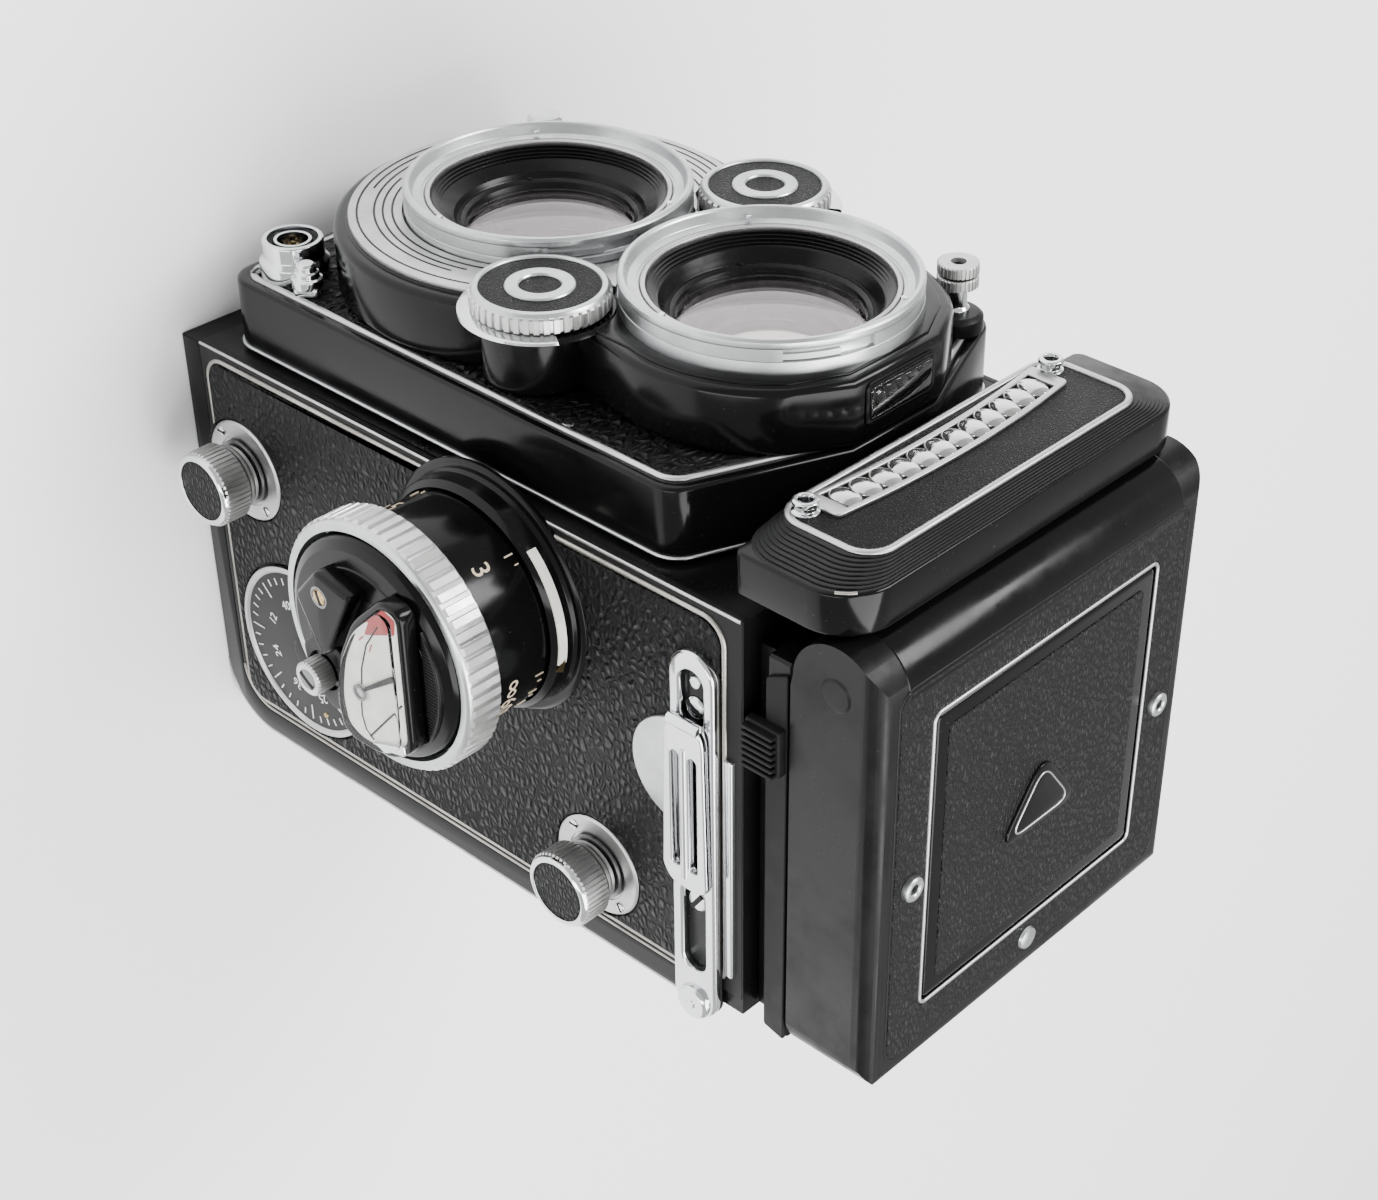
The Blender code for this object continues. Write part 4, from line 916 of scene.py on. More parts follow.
def body_side(label, side, openings):
    """The coverings of one side: a painted plate, the bead of bare metal and the leather, with its openings."""
    ride = "camera_body"
    low, high = side_levels(side, SIDE - 1.0, SIDE + 0.12)
    skin = [side_outline(0.06)] + [circle(at, r - 0.4) for at, r in openings]
    plate(label + "_skin", skin, low, high, "X", CRACKLE, ride, 0.1)
    low, high = side_levels(side, SIDE + 0.05, SIDE + 0.85)
    panel = plate(label + "_leather_cover", [leather_outline()] + [circle(at, r) for at, r in openings], low,
                  high, "X", LEATHER, ride, 0.32)
    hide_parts(f"{label}_leather")
    level = side * (SIDE + 0.2)
    bead = [(level, y, z) for y, z in leather_outline(-0.5)]
    rail(label + "_bead", bead, 0.42, WORN_RIM_AND_EDGE_HIGHLIGHT, ride, True)
    # Bright strips along the casting's front edge and round its heel: painted highlights where the edges catch
    # the light.
    edge = [(level - side * 0.25, 0.25, 4.9), (level - side * 0.25, 0.25, 120.6)]
    rail(label + "_front_edge_highlight", edge, 0.32, SILVER, ride)
    heel = [(level - side * 0.1, y, z) for y, z in side_outline(-0.35)[:-3]]
    rail(label + "_outer_edge_highlight", heel[1:], 0.26, WORN_RIM_AND_EDGE_HIGHLIGHT, ride)


def around_knob(outline):
    return [(KNOB.y + y, KNOB.z + z) for y, z in outline]


def over_knob(level, line):
    return [(level, KNOB.y + y, KNOB.z + z) for y, z in line]


INDEX = 76.0  # where the focusing index stands round the knob, degrees from +Y towards +Z
DISTANCES = (("∞", 73.0), ("60", 59.0), ("30", 45.0), ("20", 31.0), ("15", 16.0), ("12", 0.0), ("10", -17.0),
             ("8", -36.0), ("6", -57.0), ("5", -80.0), ("4", -106.0), ("3.5", -151.0), ("3", -221.0))


def make_focus_knob():
    """The focusing knob: index ring, numbered drum, knurled ring and the meter's housing in its middle."""
    at = (0.0, KNOB.y, KNOB.z)
    ride = "camera_body"
    base = [(12.0, 38.2), (18.9, 38.2), (18.9, 39.2), (18.4, 39.8), (18.3, 42.4), (17.3, 43.2), (16.9, 42.6),
            (16.9, 41.6), (12.0, 41.6)]
    index = lathe("index_ring", base, at, "+X", GLOSS, ride, 128, 0.15)
    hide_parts("focus_index_ring")
    lathe("index_flange", [(20.2, 38.1), (20.2, 38.9), (19.6, 39.3), (18.5, 39.3), (18.5, 38.1)], at, "+X",
          GLOSS, ride, 128, 0.15)
    sector("depth_scale", [(18.2, 41.0), (18.5, 41.0), (18.42, 42.5), (18.0, 42.5)], at, "+X", 78.0, 58.0,
           CREAM, ride, 48)
    mark = math.radians(INDEX)
    bm = bmesh.new()
    for r in (17.3, 18.6):
        corners = [(41.3 + dx, mark + turn) for dx, turn in ((0.0, -0.07), (0.0, 0.07), (2.0, 0.0))]
        spots = [(x, KNOB.y + r * math.cos(t), KNOB.z + r * math.sin(t)) for x, t in corners]
        bm.faces.new([bm.verts.new(spot) for spot in spots])
    from_bmesh("index_mark", bm, BRASS, ride)

    ride = "focus_ring"
    drum = [(DRUM_R, 54.3), (DRUM_R, 43.7), (16.4, 43.4), (16.4, 42.0), (14.0, 42.0), (14.0, 54.3)]
    scale = lathe("scale_drum", drum, at, "+X", GLOSS, ride, 128, 0.12)
    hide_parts("focus_scale_drum")
    for i, (words, degrees) in enumerate(DISTANCES):
        turn = math.radians(degrees)

        def on_drum(u, v, w, turn=turn):
            angle = turn - u / DRUM_R
            r = DRUM_R + w
            return (49.8 - v, KNOB.y + r * math.cos(angle), KNOB.z + r * math.sin(angle))

        lettering(f"distance_{i}", words, 4.2, on_drum, TAN_PAINT, ride, 0.03)
        y, z = KNOB.y + DRUM_R * math.cos(turn), KNOB.z + DRUM_R * math.sin(turn)
        rail(f"distance_tick_{i}", [(43.9, y, z), (45.4, y, z)], 0.13, TAN_PAINT, ride, resolution=1)
        later = turn - math.radians(5.5)
        y, z = KNOB.y + DRUM_R * math.cos(later), KNOB.z + DRUM_R * math.sin(later)
        rail(f"distance_half_tick_{i}", [(43.9, y, z), (44.6, y, z)], 0.11, TAN_PAINT, ride, resolution=1)
    grip = knurled("knurl", at, "+X", 19.8, 17.9, 54.6, 60.0, 62, 0.75, RIB_ALLOY, ride, 0.35, 0.56)
    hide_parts("focus_knurled_ring")
    lathe("knurl_bevel", [(19.5, 59.7), (19.35, 60.3), (18.9, 60.6), (17.85, 60.6), (17.85, 57.0), (14.0, 57.0),
                          (14.0, 54.4), (19.2, 54.4), (19.2, 59.7)], at, "+X", RING_SILVER, ride, 128, 0.1)

    ride = "camera_body"
    cap = [(0.0, 62.2), (9.4, 62.2), (9.6, 62.05), (12.9, 62.05), (13.1, 61.9), (15.6, 61.8), (16.9, 61.1),
           (17.4, 60.3), (17.4, 57.6), (13.4, 57.6), (11.6, 54.0), (11.6, 38.2), (0.0, 38.2)]
    housing = lathe("meter_knob_cap", cap, at, "+X", GLOSS, ride, 128, 0.12)
    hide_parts("meter_knob_housing")
    outline = [(-6.4, -11.3), (-12.2, -6.3), (-10.9, 1.2), (-7.4, -0.6), (0.6, -4.6), (2.4, -6.4)]
    wedge = softened(around_knob(outline), 0.8)
    plate("cap_wedge", [wedge], 61.6, 65.1, "X", GLOSS, ride, 0.7)
    spot = (65.0, KNOB.y - 8.2, KNOB.z - 5.6)
    lathe("wedge_screw_seat", [(1.7, -0.2), (1.7, 0.14), (1.5, 0.2), (1.25, 0.05), (1.25, -0.2)], spot, "+X",
          DARK_STEEL, ride, 32, 0.03)
    screw("wedge_screw", spot, "+X", 1.25, 0.28, BRASS, ride, 20.0)
    plateau = softened(around_knob([(2.4, -5.2), (12.6, -4.2), (13.4, -8.4), (9.8, -13.0), (4.2, -13.8),
                                    (0.6, -9.4)]), 1.0)
    well = circle((KNOB.y + 7.4, KNOB.z - 9.6), 3.2, 40)
    plate("speed_plate", [plateau, well], 61.9, 62.75, "X", GREY_PLATE, ride, 0.2)
    # The slot is a black strip laid on the plate: painted shade.
    plate("speed_slot", [rounded_box((KNOB.y + 3.2, KNOB.z - 6.9), (KNOB.y + 5.6, KNOB.z - 6.1), 0.35)], 62.6,
          62.8, "X", DEEP_BLACK, ride, 0.03)


def make_meter_readout():
    ride = "camera_body"
    window = softened(around_knob([(-13.0, 11.8), (-13.6, 7.5), (-7.2, 1.0), (0.0, -2.6), (6.9, -3.8),
                                   (12.2, -3.0), (14.0, 0.0), (13.8, 6.8), (10.5, 11.8)]), 2.2, steps=6)
    inner = softened(around_knob([(-11.8, 10.6), (-12.2, 8.0), (-6.4, 2.2), (0.4, -1.2), (6.9, -2.5),
                                  (11.4, -1.8), (12.7, 0.6), (12.5, 6.4), (9.9, 10.6)]), 2.2, steps=6)
    plate("window_rim", [window, inner], 62.1, 65.0, "X", GLOSS, ride, 0.5)
    dome = plate("window_glass", [inner], 65.45, 66.2, "X", WINDOW_GLASS, ride, 0.37)
    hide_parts("meter_window")
    plate("meter_card", [inner], 61.9, 64.6, "X", CREAM, ride, 0.05)
    red = softened(around_knob([(-6.0, 3.6), (-8.6, 9.8), (-11.2, 10.2), (-12.0, 8.0), (-10.4, 5.6)]), 0.4)
    plate("meter_red", [red], 64.5, 64.66, "X", RED_PAINT, ride, 0.02)
    for i, ends in enumerate((((-4.6, 2.4), (-5.6, 3.3)), ((-3.6, 4.4), (-5.0, 5.0)))):
        rail(f"meter_red_tick_{i}", over_knob(NEEDLE_LEVEL, ends), 0.12, RED_PAINT, ride, resolution=1)
    line = over_knob(64.64, [(11.6, 2.7), (3.0, 10.0)])
    rail("meter_line", line, 0.16, DEEP_BLACK, ride, resolution=1)
    block = softened(around_knob([(12.0, 3.6), (9.6, 10.2), (11.4, 10.4), (12.5, 6.2)]), 0.4)
    plate("meter_block", [block], 64.4, 65.3, "X", CHROME, ride, 0.2)
    hub = (0.0, KNOB.y + 4.3, KNOB.z + 1.8)
    for name, arm in (("upper", [(-8.6, 6.6), (-4.4, 3.8), (0.0, 2.3), (3.0, 1.9)]),
                      ("lower", [(5.6, 1.5), (8.6, 1.3), (10.8, 1.9), (11.9, 3.4)])):
        rail(f"follow_needle_{name}", over_knob(NEEDLE_LEVEL, arm), 0.13, GREY_PLATE, ride, resolution=2)
    tip = (hub[1] - 5.7, hub[2] + 7.4)
    outline = [(hub[1] - 0.55, hub[2] + 0.95), (hub[1] - 0.95, hub[2] + 0.55), (tip[0] - 0.35, tip[1] - 0.3),
               (tip[0] + 0.35, tip[1] + 0.3)]
    needle = plate("pointer", [outline], POINTER_LEVEL, POINTER_LEVEL + 0.16, "X", DEEP_BLACK, "meter_needle",
                   0.03)
    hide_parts("meter_needle")
    lathe("pointer_hub", [(0.8, 64.95), (1.3, 64.95), (1.3, 65.3), (0.8, 65.3)], hub, "+X", DARK_STEEL,
          "meter_needle", 32, 0.05)
    lathe("pointer_pivot", [(0.0, 65.1), (0.6, 65.05), (0.6, 61.6), (0.0, 61.6)], hub, "+X", SILVER,
          "meter_needle", 24, 0.0)
    chord, reach = 12.6, 15.7
    bed = arc((KNOB.y, KNOB.z), reach, 53.5, 73.0, 24)
    plate("grille_bed", [bed], 61.6, 62.5, "X", DEEP_BLACK, ride, 0.15)
    for i in range(33):
        y = -8.8 + 0.55 * i
        top = math.sqrt(15.2**2 - y * y)
        if top > chord + 0.4:
            rail(f"grille_{i}", over_knob(62.5, [(y, chord + 0.3), (y, top)]), 0.17, MATTE_BLACK, ride,
                 resolution=1)
    at = (0.0, KNOB.y + 7.4, KNOB.z - 9.6)
    wheel = knurled("speed_wheel", at, "+X", 2.7, 0.0, 62.6, 65.8, 28, 0.2, RIB_ALLOY, "film_speed_wheel", 0.25)
    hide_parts("film_speed_wheel")
    screw("speed_wheel_top", (65.75, at[1], at[2]), "+X", 1.7, 0.24, DARK_STEEL, "film_speed_wheel", 55.0)


def make_side_controls():
    at = (0.0, DIAL.y, DIAL.z)
    ride = "film_reminder_dial"
    disc = [(0.0, 38.9), (14.4, 38.9), (14.4, 38.35), (0.0, 38.35)]
    face = lathe("reminder_face", disc, at, "+X", GREY_PLATE, ride, 128, 0.08)
    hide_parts("film_reminder_dial")
    lathe("reminder_rim", [(15.5, 38.4), (15.5, 39.1), (15.2, 39.3), (14.7, 39.25), (14.3, 38.9), (14.3, 38.4)],
          at, "+X", SILVER, ride, 128, 0.08)
    for i in range(40):
        a = math.radians(9.0 * i)
        c, s = math.cos(a), math.sin(a)
        near = 12.2 if i % 5 else 10.6
        ends = [(38.95, at[1] + r * c, at[2] + r * s) for r in (near, 13.4)]
        rail(f"reminder_mark_{i}", ends, 0.11, WHITE_PAINT, ride, resolution=1)
    for i, words in enumerate(("25", "50", "100", "200", "400", "12", "24", "36")):
        a = math.radians(22.5 + 45.0 * i)

        def on_dial(u, v, w, a=a):
            across, out = Vector((-math.sin(a), math.cos(a))), Vector((math.cos(a), math.sin(a)))
            spot = out * (8.4 + v) - across * u
            return (38.95 + w, at[1] + spot.x, at[2] + spot.y)

        lettering(f"reminder_value_{i}", words, 2.3, on_dial, WHITE_PAINT, ride, 0.02)
    lathe("reminder_hub", [(0.0, 39.5), (2.2, 39.4), (2.8, 39.1), (2.8, 38.8), (0.0, 38.8)], at, "+X",
          SATIN_BLACK, ride, 48, 0.1)
    dot = (0.0, at[1] + 11.0, at[2] + 3.6)
    lathe("reminder_dot", [(0.0, 39.1), (0.45, 39.05), (0.55, 38.8), (0.0, 38.8)], dot, "+X", BRASS, ride, 20,
          0.0)
    for label, spot in (("lower", LOWER_SPOOL), ("upper", UPPER_SPOOL)):
        at = (0.0, spot.y, spot.z)
        flange = [(3.2, 38.15), (8.6, 38.15), (8.6, 38.75), (8.2, 39.0), (5.9, 39.0), (5.9, 38.8), (3.2, 38.8)]
        lathe(label + "_spool_flange", flange, at, "+X", SILVER, "camera_body", 96, 0.08)
        for i in range(2):
            a = math.radians(40.0 + 180.0 * i)
            screw(f"{label}_flange_screw_{i}", (38.95, at[1] + 7.3 * math.cos(a), at[2] + 7.3 * math.sin(a)),
                  "+X", 0.85, 0.3, CHROME, "camera_body", 30.0 + 60.0 * i)
        pin = [(0.0, 39.7), (5.5, 39.7), (5.5, 39.15), (3.1, 39.15), (3.1, 31.0), (1.8, 29.6), (0.0, 29.6)]
        made = lathe(label + "_pin", pin, at, "+X", DARK_STEEL, f"{label}_spool_pin", 64, 0.08)
        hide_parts(f"{label}_spool_pin")
        ride = f"{label}_spool_knob"
        grip = knurled(label + "_knob_grip", at, "+X", 6.3, 0.0, 42.4, 46.9, 48, 0.24, RIB_ALLOY, ride, 0.25)
        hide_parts(f"{label}_spool_knob")
        collars = [(0.0, 42.5), (5.7, 42.5), (5.7, 42.1), (4.6, 42.1), (4.6, 41.7), (5.4, 41.6), (5.4, 41.2),
                   (4.4, 41.1), (4.4, 40.7), (5.0, 40.6), (5.0, 40.1), (0.0, 40.1)]
        lathe(label + "_knob_collars", collars, at, "+X", SILVER, ride, 72, 0.04)
        rim = [(6.1, 46.7), (5.9, 47.3), (5.4, 47.6), (5.0, 47.45), (5.0, 46.7)]
        lathe(label + "_knob_rim", rim, at, "+X", CHROME, ride, 72, 0.06)
        lathe(label + "_knob_leather", [(0.0, 47.35), (4.6, 47.35), (5.1, 47.15), (5.1, 46.6), (0.0, 46.6)], at,
              "+X", LID_LEATHER, ride, 64, 0.08)


def make_strap_fittings(label, side):
    """The polished rail with its screws, the spring clip over it and the half disc behind."""
    ride = "camera_body"
    low, high = side_levels(side, SIDE + 0.2, SIDE + 0.95)
    outer = rounded_box((7.5, 109.0), (73.8, 117.4), 4.15, 12)
    bed = plate(label + "_rail_bed", [outer], low, high, "X", DEEP_BLACK, ride, 0.2)
    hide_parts(f"{label}_strap_rail")
    low, high = side_levels(side, SIDE + 0.6, SIDE + 2.3)
    front_slot = rounded_box((10.6, 111.0), (20.2, 115.4), 2.15, 10)
    rear_slot = rounded_box((48.4, 111.0), (64.8, 115.4), 2.15, 10)
    plate(label + "_rail", [outer, front_slot, rear_slot], low, high, "X", CHROME, ride, 0.55)
    axis = "+X" if side > 0 else "-X"

    def at(y, z, level):
        return (side * level, y, z)

    screw(label + "_rail_screw_front", at(17.2, 113.2, SIDE + 0.9), axis, 1.8, 0.7, CHROME, ride, 60.0)
    lathe(label + "_rail_pin", [(0.0, 0.6), (0.9, 0.5), (1.1, 0.0), (0.0, 0.0)], at(12.9, 113.2, SIDE + 0.9),
          axis, CHROME, ride, 32, 0.05)
    screw(label + "_rail_screw_rear", at(52.0, 113.2, SIDE + 0.9), axis, 1.8, 0.7, CHROME, ride, -35.0)
    bolt = [(0.0, 3.5), (0.7, 3.5), (0.9, 3.25), (2.5, 3.25), (3.0, 2.8), (3.0, 1.5), (0.0, 1.5)]
    lathe(label + "_hinge_bolt", bolt, (side * SIDE, *DOOR_HINGE), axis, CHROME, ride, 56, 0.12)
    low, high = side_levels(side, SIDE + 0.5, SIDE + 1.3)
    reach = 9.3 if side > 0 else 6.5  # the crank's handle folds past the far one
    half_disc = arc((30.5, 109.8), reach, 180.0, 180.0, 40)
    plate(label + "_strap_disc", [half_disc], low, high, "X", RING_SILVER, ride, 0.25)
    ride = f"{label}_strap_clip"
    low, high = side_levels(side, SIDE + 2.6, SIDE + 3.9)
    clip = softened([(18.4, 110.4), (20.5, 109.4), (45.6, 108.7), (48.0, 110.6), (48.0, 115.6), (47.0, 117.4),
                     (20.5, 116.8), (18.4, 115.8)], 1.6, steps=6)
    slots = [rounded_box((24.0, z - 0.75), (44.5, z + 0.75), 0.72) for z in (111.4, 114.8)]
    made = plate(label + "_clip", [clip, *slots], low, high, "X", CHROME, ride, 0.35)
    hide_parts(f"{label}_strap_clip")
    roll = [at(18.9, z, SIDE + 3.35) for z in (110.2, 116.0)]
    rail(label + "_clip_roll", roll, 0.95, CHROME, ride, resolution=5)
    ridge = [at(y, 113.1, SIDE + 3.75) for y in (23.0, 46.0)]
    rail(label + "_clip_ridge", ridge, 0.5, CHROME, ride, resolution=3)


def make_hood_catch(label, side):
    node = f"{label}_hood_catch"
    low, high = low_high(node)
    base = side_levels(side, 36.95, 38.7)
    made = box_piece(label + "_catch", (base[0], low.y, low.z), (base[1], high.y, high.z), MATTE_BLACK, node,
                     0.3)
    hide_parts(node)
    for i in range(7):
        y = low.y + 0.75 + 1.08 * i
        tooth = side_levels(side, 38.5, 39.85)
        box_piece(f"{label}_catch_rib_{i}", (tooth[0], y - 0.3, low.z + 0.3), (tooth[1], y + 0.3, high.z - 0.3),
                  MATTE_BLACK, node, 0.2)


KNOB_OPENINGS = [((KNOB.y, KNOB.z), 18.9), ((DIAL.y, DIAL.z), 15.9), ((LOWER_SPOOL.y, LOWER_SPOOL.z), 8.8),
                 ((UPPER_SPOOL.y, UPPER_SPOOL.z), 8.8)]
POCKETS = [(CRANK.y, CRANK.z + 27.6), (CRANK.y, CRANK.z - 27.6)]
CRANK_OPENINGS = [((CRANK.y, CRANK.z), 6.5)] + [(spot, 4.7) for spot in POCKETS]


# --- meter block --------------------------------------------------------------------------------
def meter_outline():
    """The block above the lenses, (x, z): domed corners, and a nearly flat lower edge."""
    r = 8.0
    right = [(12.0, 116.8), (24.0, 118.1), (35.6, 118.8)]
    right += arc((38.0 - 1.8, 120.6), 1.8, -80.0, 80.0, 6)
    right += arc((38.0 - r, 139.6 - r), r, 0.0, 90.0, 16)
    return mirrored(right)


def bubble(name, centre, radii, paint, body):
    bm = bmesh.new()
    bmesh.ops.create_uvsphere(bm, u_segments=28, v_segments=16, radius=1.0)
    for vertex in bm.verts:
        vertex.co = Vector(centre) + Vector([c * r for c, r in zip(vertex.co, radii)])
    return from_bmesh(name, bm, paint, body, 60.0)


def sagging(end, middle_level, x):
    return end + (middle_level - end) * (1.0 - (x / 25.0) ** 2)


def cell_opening(half, grow):
    """The outline round the row of cells, whose long sides bow upward in the middle."""
    xs = [-half + 2 * half * k / 24 for k in range(25)]
    upper = [(x, sagging(125.6, 127.2, x) + grow) for x in xs]
    return upper + [(x, sagging(120.4, 122.0, x) - grow) for x in reversed(xs)]


def make_meter_block():
    """The block above the lenses: terraced ends, a raised silver frame and a row of glass cells."""
    ride = "camera_body"
    front, back = METER_LOW.y, METER_LOW.y + METER_DEPTH
    block = plate("meter_block_back", [meter_outline()], front + 1.9, back, "Y", GLOSS, ride, 0.5)
    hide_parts("meter_housing")
    terraces = 9
    for i in range(terraces):
        outline = rounded_box((-37.6 + 0.78 * i, 117.7 + 0.12 * i), (37.6 - 0.78 * i, 139.2 - 0.33 * i),
                              7.6 - 0.25 * i, 16)
        level = front + 1.95 - 0.235 * i
        plate(f"meter_terrace_{i}", [outline], level - 0.1, level + 0.6, "Y", SATIN_BLACK, ride, 0.1)
    plate("meter_field", [rounded_box((-29.6, 119.4), (29.6, 135.6), 4.0, 12)], front - 0.16, front + 0.3, "Y",
          FINE_LEATHER, ride, 0.1)
    ring = [(x, front - 0.12, z) for x, z in rounded_box((-29.9, 119.1), (29.9, 135.9), 4.3, 14)]
    rail("meter_frame", ring, 0.55, SILVER, ride, True, squash=(1, front - 0.12, 0.8))
    outer, inner = cell_opening(25.4, 0.75), cell_opening(22.9, -0.2)
    bed = plate("cell_bed", [inner], front + 0.2, front + 0.9, "Y", DARK_STEEL, ride, 0.05)
    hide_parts("meter_cell_lens_strip")
    plate("cell_frame", [softened(outer, 0.8), inner], front - 0.75, front - 0.1, "Y", SILVER, ride, 0.2)
    for i in range(12):
        x = (i - 5.5) * 3.76
        bubble(f"cell_lens_{i}", (x, front - 0.05, sagging(123.0, 124.6, x)), (1.9, 1.25, 2.75), BUBBLE, ride)
    for i, side in enumerate((-1, 1)):
        post = [(2.0, 12.4), (2.0, 12.9), (1.5, 13.1), (1.5, 13.7), (1.9, 13.95), (1.9, 14.5), (1.65, 14.7),
                (1.15, 14.7), (1.0, 14.3), (1.0, 12.4)]
        lathe(f"meter_post_{i}", post, (side * 26.9, 0, 121.9), "-Y", CHROME, ride, 48, 0.08)
        lathe(f"meter_post_core_{i}", [(0.0, 13.3), (1.05, 13.3), (1.05, 12.4), (0.0, 12.4)],
              (side * 26.9, 0, 121.9), "-Y", DEEP_BLACK, ride, 24, 0.0)
    worn = [(x, front + 1.95, z) for x, z in arc((30.0, 131.6), 7.55, 30.0, 22.0, 8)]
    rail("meter_bare_corner", worn, 0.24, WORN_RIM_AND_EDGE_HIGHLIGHT, ride, resolution=2)
    box_piece("meter_neck", (-30.0, back - 1.2, 121.7), (30.0, METER_HIGH.y - 0.1, 123.3), MATTE_BLACK, ride,
              0.2)


# --- folding hood -------------------------------------------------------------------------------
def carve(obj, mesh, operation="DIFFERENCE"):
    """Cuts a piece with a shape given in body millimetres."""
    mesh.transform(TO_WORLD)
    tool = bpy.data.objects.new("cutting_tool", mesh)
    bpy.context.scene.collection.objects.link(tool)
    change = obj.modifiers.new("carve", "BOOLEAN")
    change.operation = operation
    change.object = tool
    change.solver = "EXACT"
    bpy.context.view_layer.update()
    made = bpy.data.meshes.new_from_object(obj.evaluated_get(bpy.context.evaluated_depsgraph_get()))
    obj.modifiers.clear()
    obj.data = made
    bpy.data.objects.remove(tool)
    return obj


def soft_edges(obj, width):
    """Rounds the edges that cutting left sharp."""
    bevel = obj.modifiers.new("edge", "BEVEL")
    bevel.width = width * MM
    bevel.segments = 3
    bevel.limit_method = "ANGLE"
    bevel.angle_limit = math.radians(34.0)
    bevel.harden_normals = True
    return obj


def make_lid():
    ride = "hood_lid"
    half, back, low, top = LID_HIGH.x, LID_HIGH.y, LID_LOW.z, LID_HIGH.z
    roll = top - PIVOT_Z
    side = [(back, low)] + arc((back - 4.2, top - 4.2), 4.2, 0.0, 90.0, 14)
    side += arc((PIVOT_Y, PIVOT_Z), roll, 90.0, 180.0, 30) + [(PIVOT_Y + 2.0, low)]
    lid = plate("lid", [side], -half, half, "X", SATIN_BLACK, ride, 0.0)
    plan = rounded_box((-half - 0.1, -20.0), (half + 0.1, back + 0.05), 8.0, 18)
    carve(lid, plate_mesh("plan", [plan], low - 5.0, top + 5.0, "Z", 0.0), "INTERSECT")
    crown = 3.6
    section = [(-half - 0.1, low - 1.0), (half + 0.1, low - 1.0)]
    section += arc((half + 0.1 - crown, top + 0.02 - crown), crown, 0.0, 90.0, 12)
    section += arc((crown - half - 0.1, top + 0.02 - crown), crown, 90.0, 90.0, 12)
    carve(lid, plate_mesh("section", [section], -20.0, back + 5.0, "Y", 0.0), "INTERSECT")
    hollow = rounded_box((-half + 1.5, PIVOT_Y + 3.5), (half - 1.5, back - 1.5), 6.4, 12)
    carve(lid, plate_mesh("hollow", [hollow], low - 5.0, top - 1.9, "Z", 0.0))
    opening = rounded_box((-25.8, 10.2), (25.8, 62.0), 1.6)
    carve(lid, plate_mesh("opening", [opening], top - 5.0, top + 5.0, "Z", 0.0))
    carve(lid, plate_mesh("bore", [circle((PIVOT_Y, PIVOT_Z), 1.8)], -half - 1, half + 1, "X", 0.0))
    soft_edges(lid, 0.25)
    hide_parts("hood_lid")
    lathe("lid_roll", [(7.62, -31.5), (7.62, 31.5), (6.9, 32.0), (6.9, -32.0)], (0.0, PIVOT_Y, PIVOT_Z), "+X",
          GLOSS, ride, 96, 0.2)
    outer = rounded_box((-33.0, 3.6), (33.0, 68.9), 2.6, 10)
    square = rounded_box((-26.2, 9.8), (26.2, 62.4), 1.2, 8)
    plate("lid_leather_cover", [outer, square], top - 0.3, top + 0.11, "Z", LID_LEATHER, ride, 0.15)
    line = [(x, y, top) for x, y in rounded_box((-25.9, 10.1), (25.9, 62.1), 1.4, 8)]
    rail("lid_square", line, 0.33, SILVER, ride, True)
    border = [(x, y, top - 0.1) for x, y in rounded_box((-33.4, 3.2), (33.4, 69.3), 3.0, 10)]
    rail("lid_border_line", border, 0.2, SATIN_BLACK, ride, True)
    panel = plate("finder_panel", [rounded_box((-25.3, 10.7), (25.3, 61.5), 1.2, 8)], top - 1.8, top + 0.1, "Z",
                  GLOSS, ride, 0.6)
    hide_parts("sports_finder_panel")
    inset = 2.6
    outline = rounded_box((-25.3 + inset, 10.7 + inset), (25.3 - inset, 61.5 - inset), 1.0, 8)
    plate("finder_panel_cover", [outline], top - 0.8, top + 0.3, "Z", LID_LEATHER, ride, 0.25)
    corners = [(-9.6, 43.4), (0.0, 30.6), (9.6, 43.4)]
    plate("lid_badge", [softened(corners, 4.6, steps=8)], top, top + 0.75, "Z", GLOSS, ride, 0.3)
    middle_point = Vector((0.0, 39.1))
    line = [Vector(p).lerp(middle_point, 0.24) for p in softened(corners, 4.6, steps=8)]
    rail("lid_badge_line", [(x, y, top + 0.74) for x, y in line], 0.17, SILVER, ride, True, resolution=2)
    for i, way in enumerate((1, -1)):
        cap = [(0.0, 0.22), (2.2, 0.2), (2.6, 0.0), (0.0, -1.0)]
        lathe(f"lid_pivot_cap_{i}", cap, (way * half, PIVOT_Y, PIVOT_Z), "+X" if way > 0 else "-X", SATIN_BLACK,
              ride, 40, 0.05)
    for i, x in enumerate((-29.5, 29.5)):
        eyelet = [(0.85, top + 0.1), (0.85, top + 0.9), (1.1, top + 1.15), (1.65, top + 1.2),
                  (1.95, top + 0.95), (2.0, top + 0.1)]
        lathe(f"lid_eyelet_{i}", eyelet, (x, 37.6, 0), "+Z", RING_SILVER, ride, 48, 0.06)
        lathe(f"lid_eyelet_core_{i}", [(0.0, top + 0.4), (0.9, top + 0.4), (0.9, top), (0.0, top)],
              (x, 37.6, 0), "+Z", DEEP_BLACK, ride, 24, 0.0)
    stud = [(0.0, top + 0.95), (1.1, top + 0.9), (1.75, top + 0.65), (1.95, top + 0.2), (0.0, top + 0.1)]
    lathe("lid_stud", stud, (0.0, 65.9, 0), "+Z", RING_SILVER, ride, 48, 0.0)
    pin = lathe("hinge_pin", [(0.0, 36.6), (1.2, 36.6), (1.4, 36.3), (1.4, -36.3), (1.2, -36.6), (0.0, -36.6)],
                (0.0, PIVOT_Y, PIVOT_Z), "+X", SILVER, "camera_body", 48, 0.0)
    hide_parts("hood_hinge_pin")


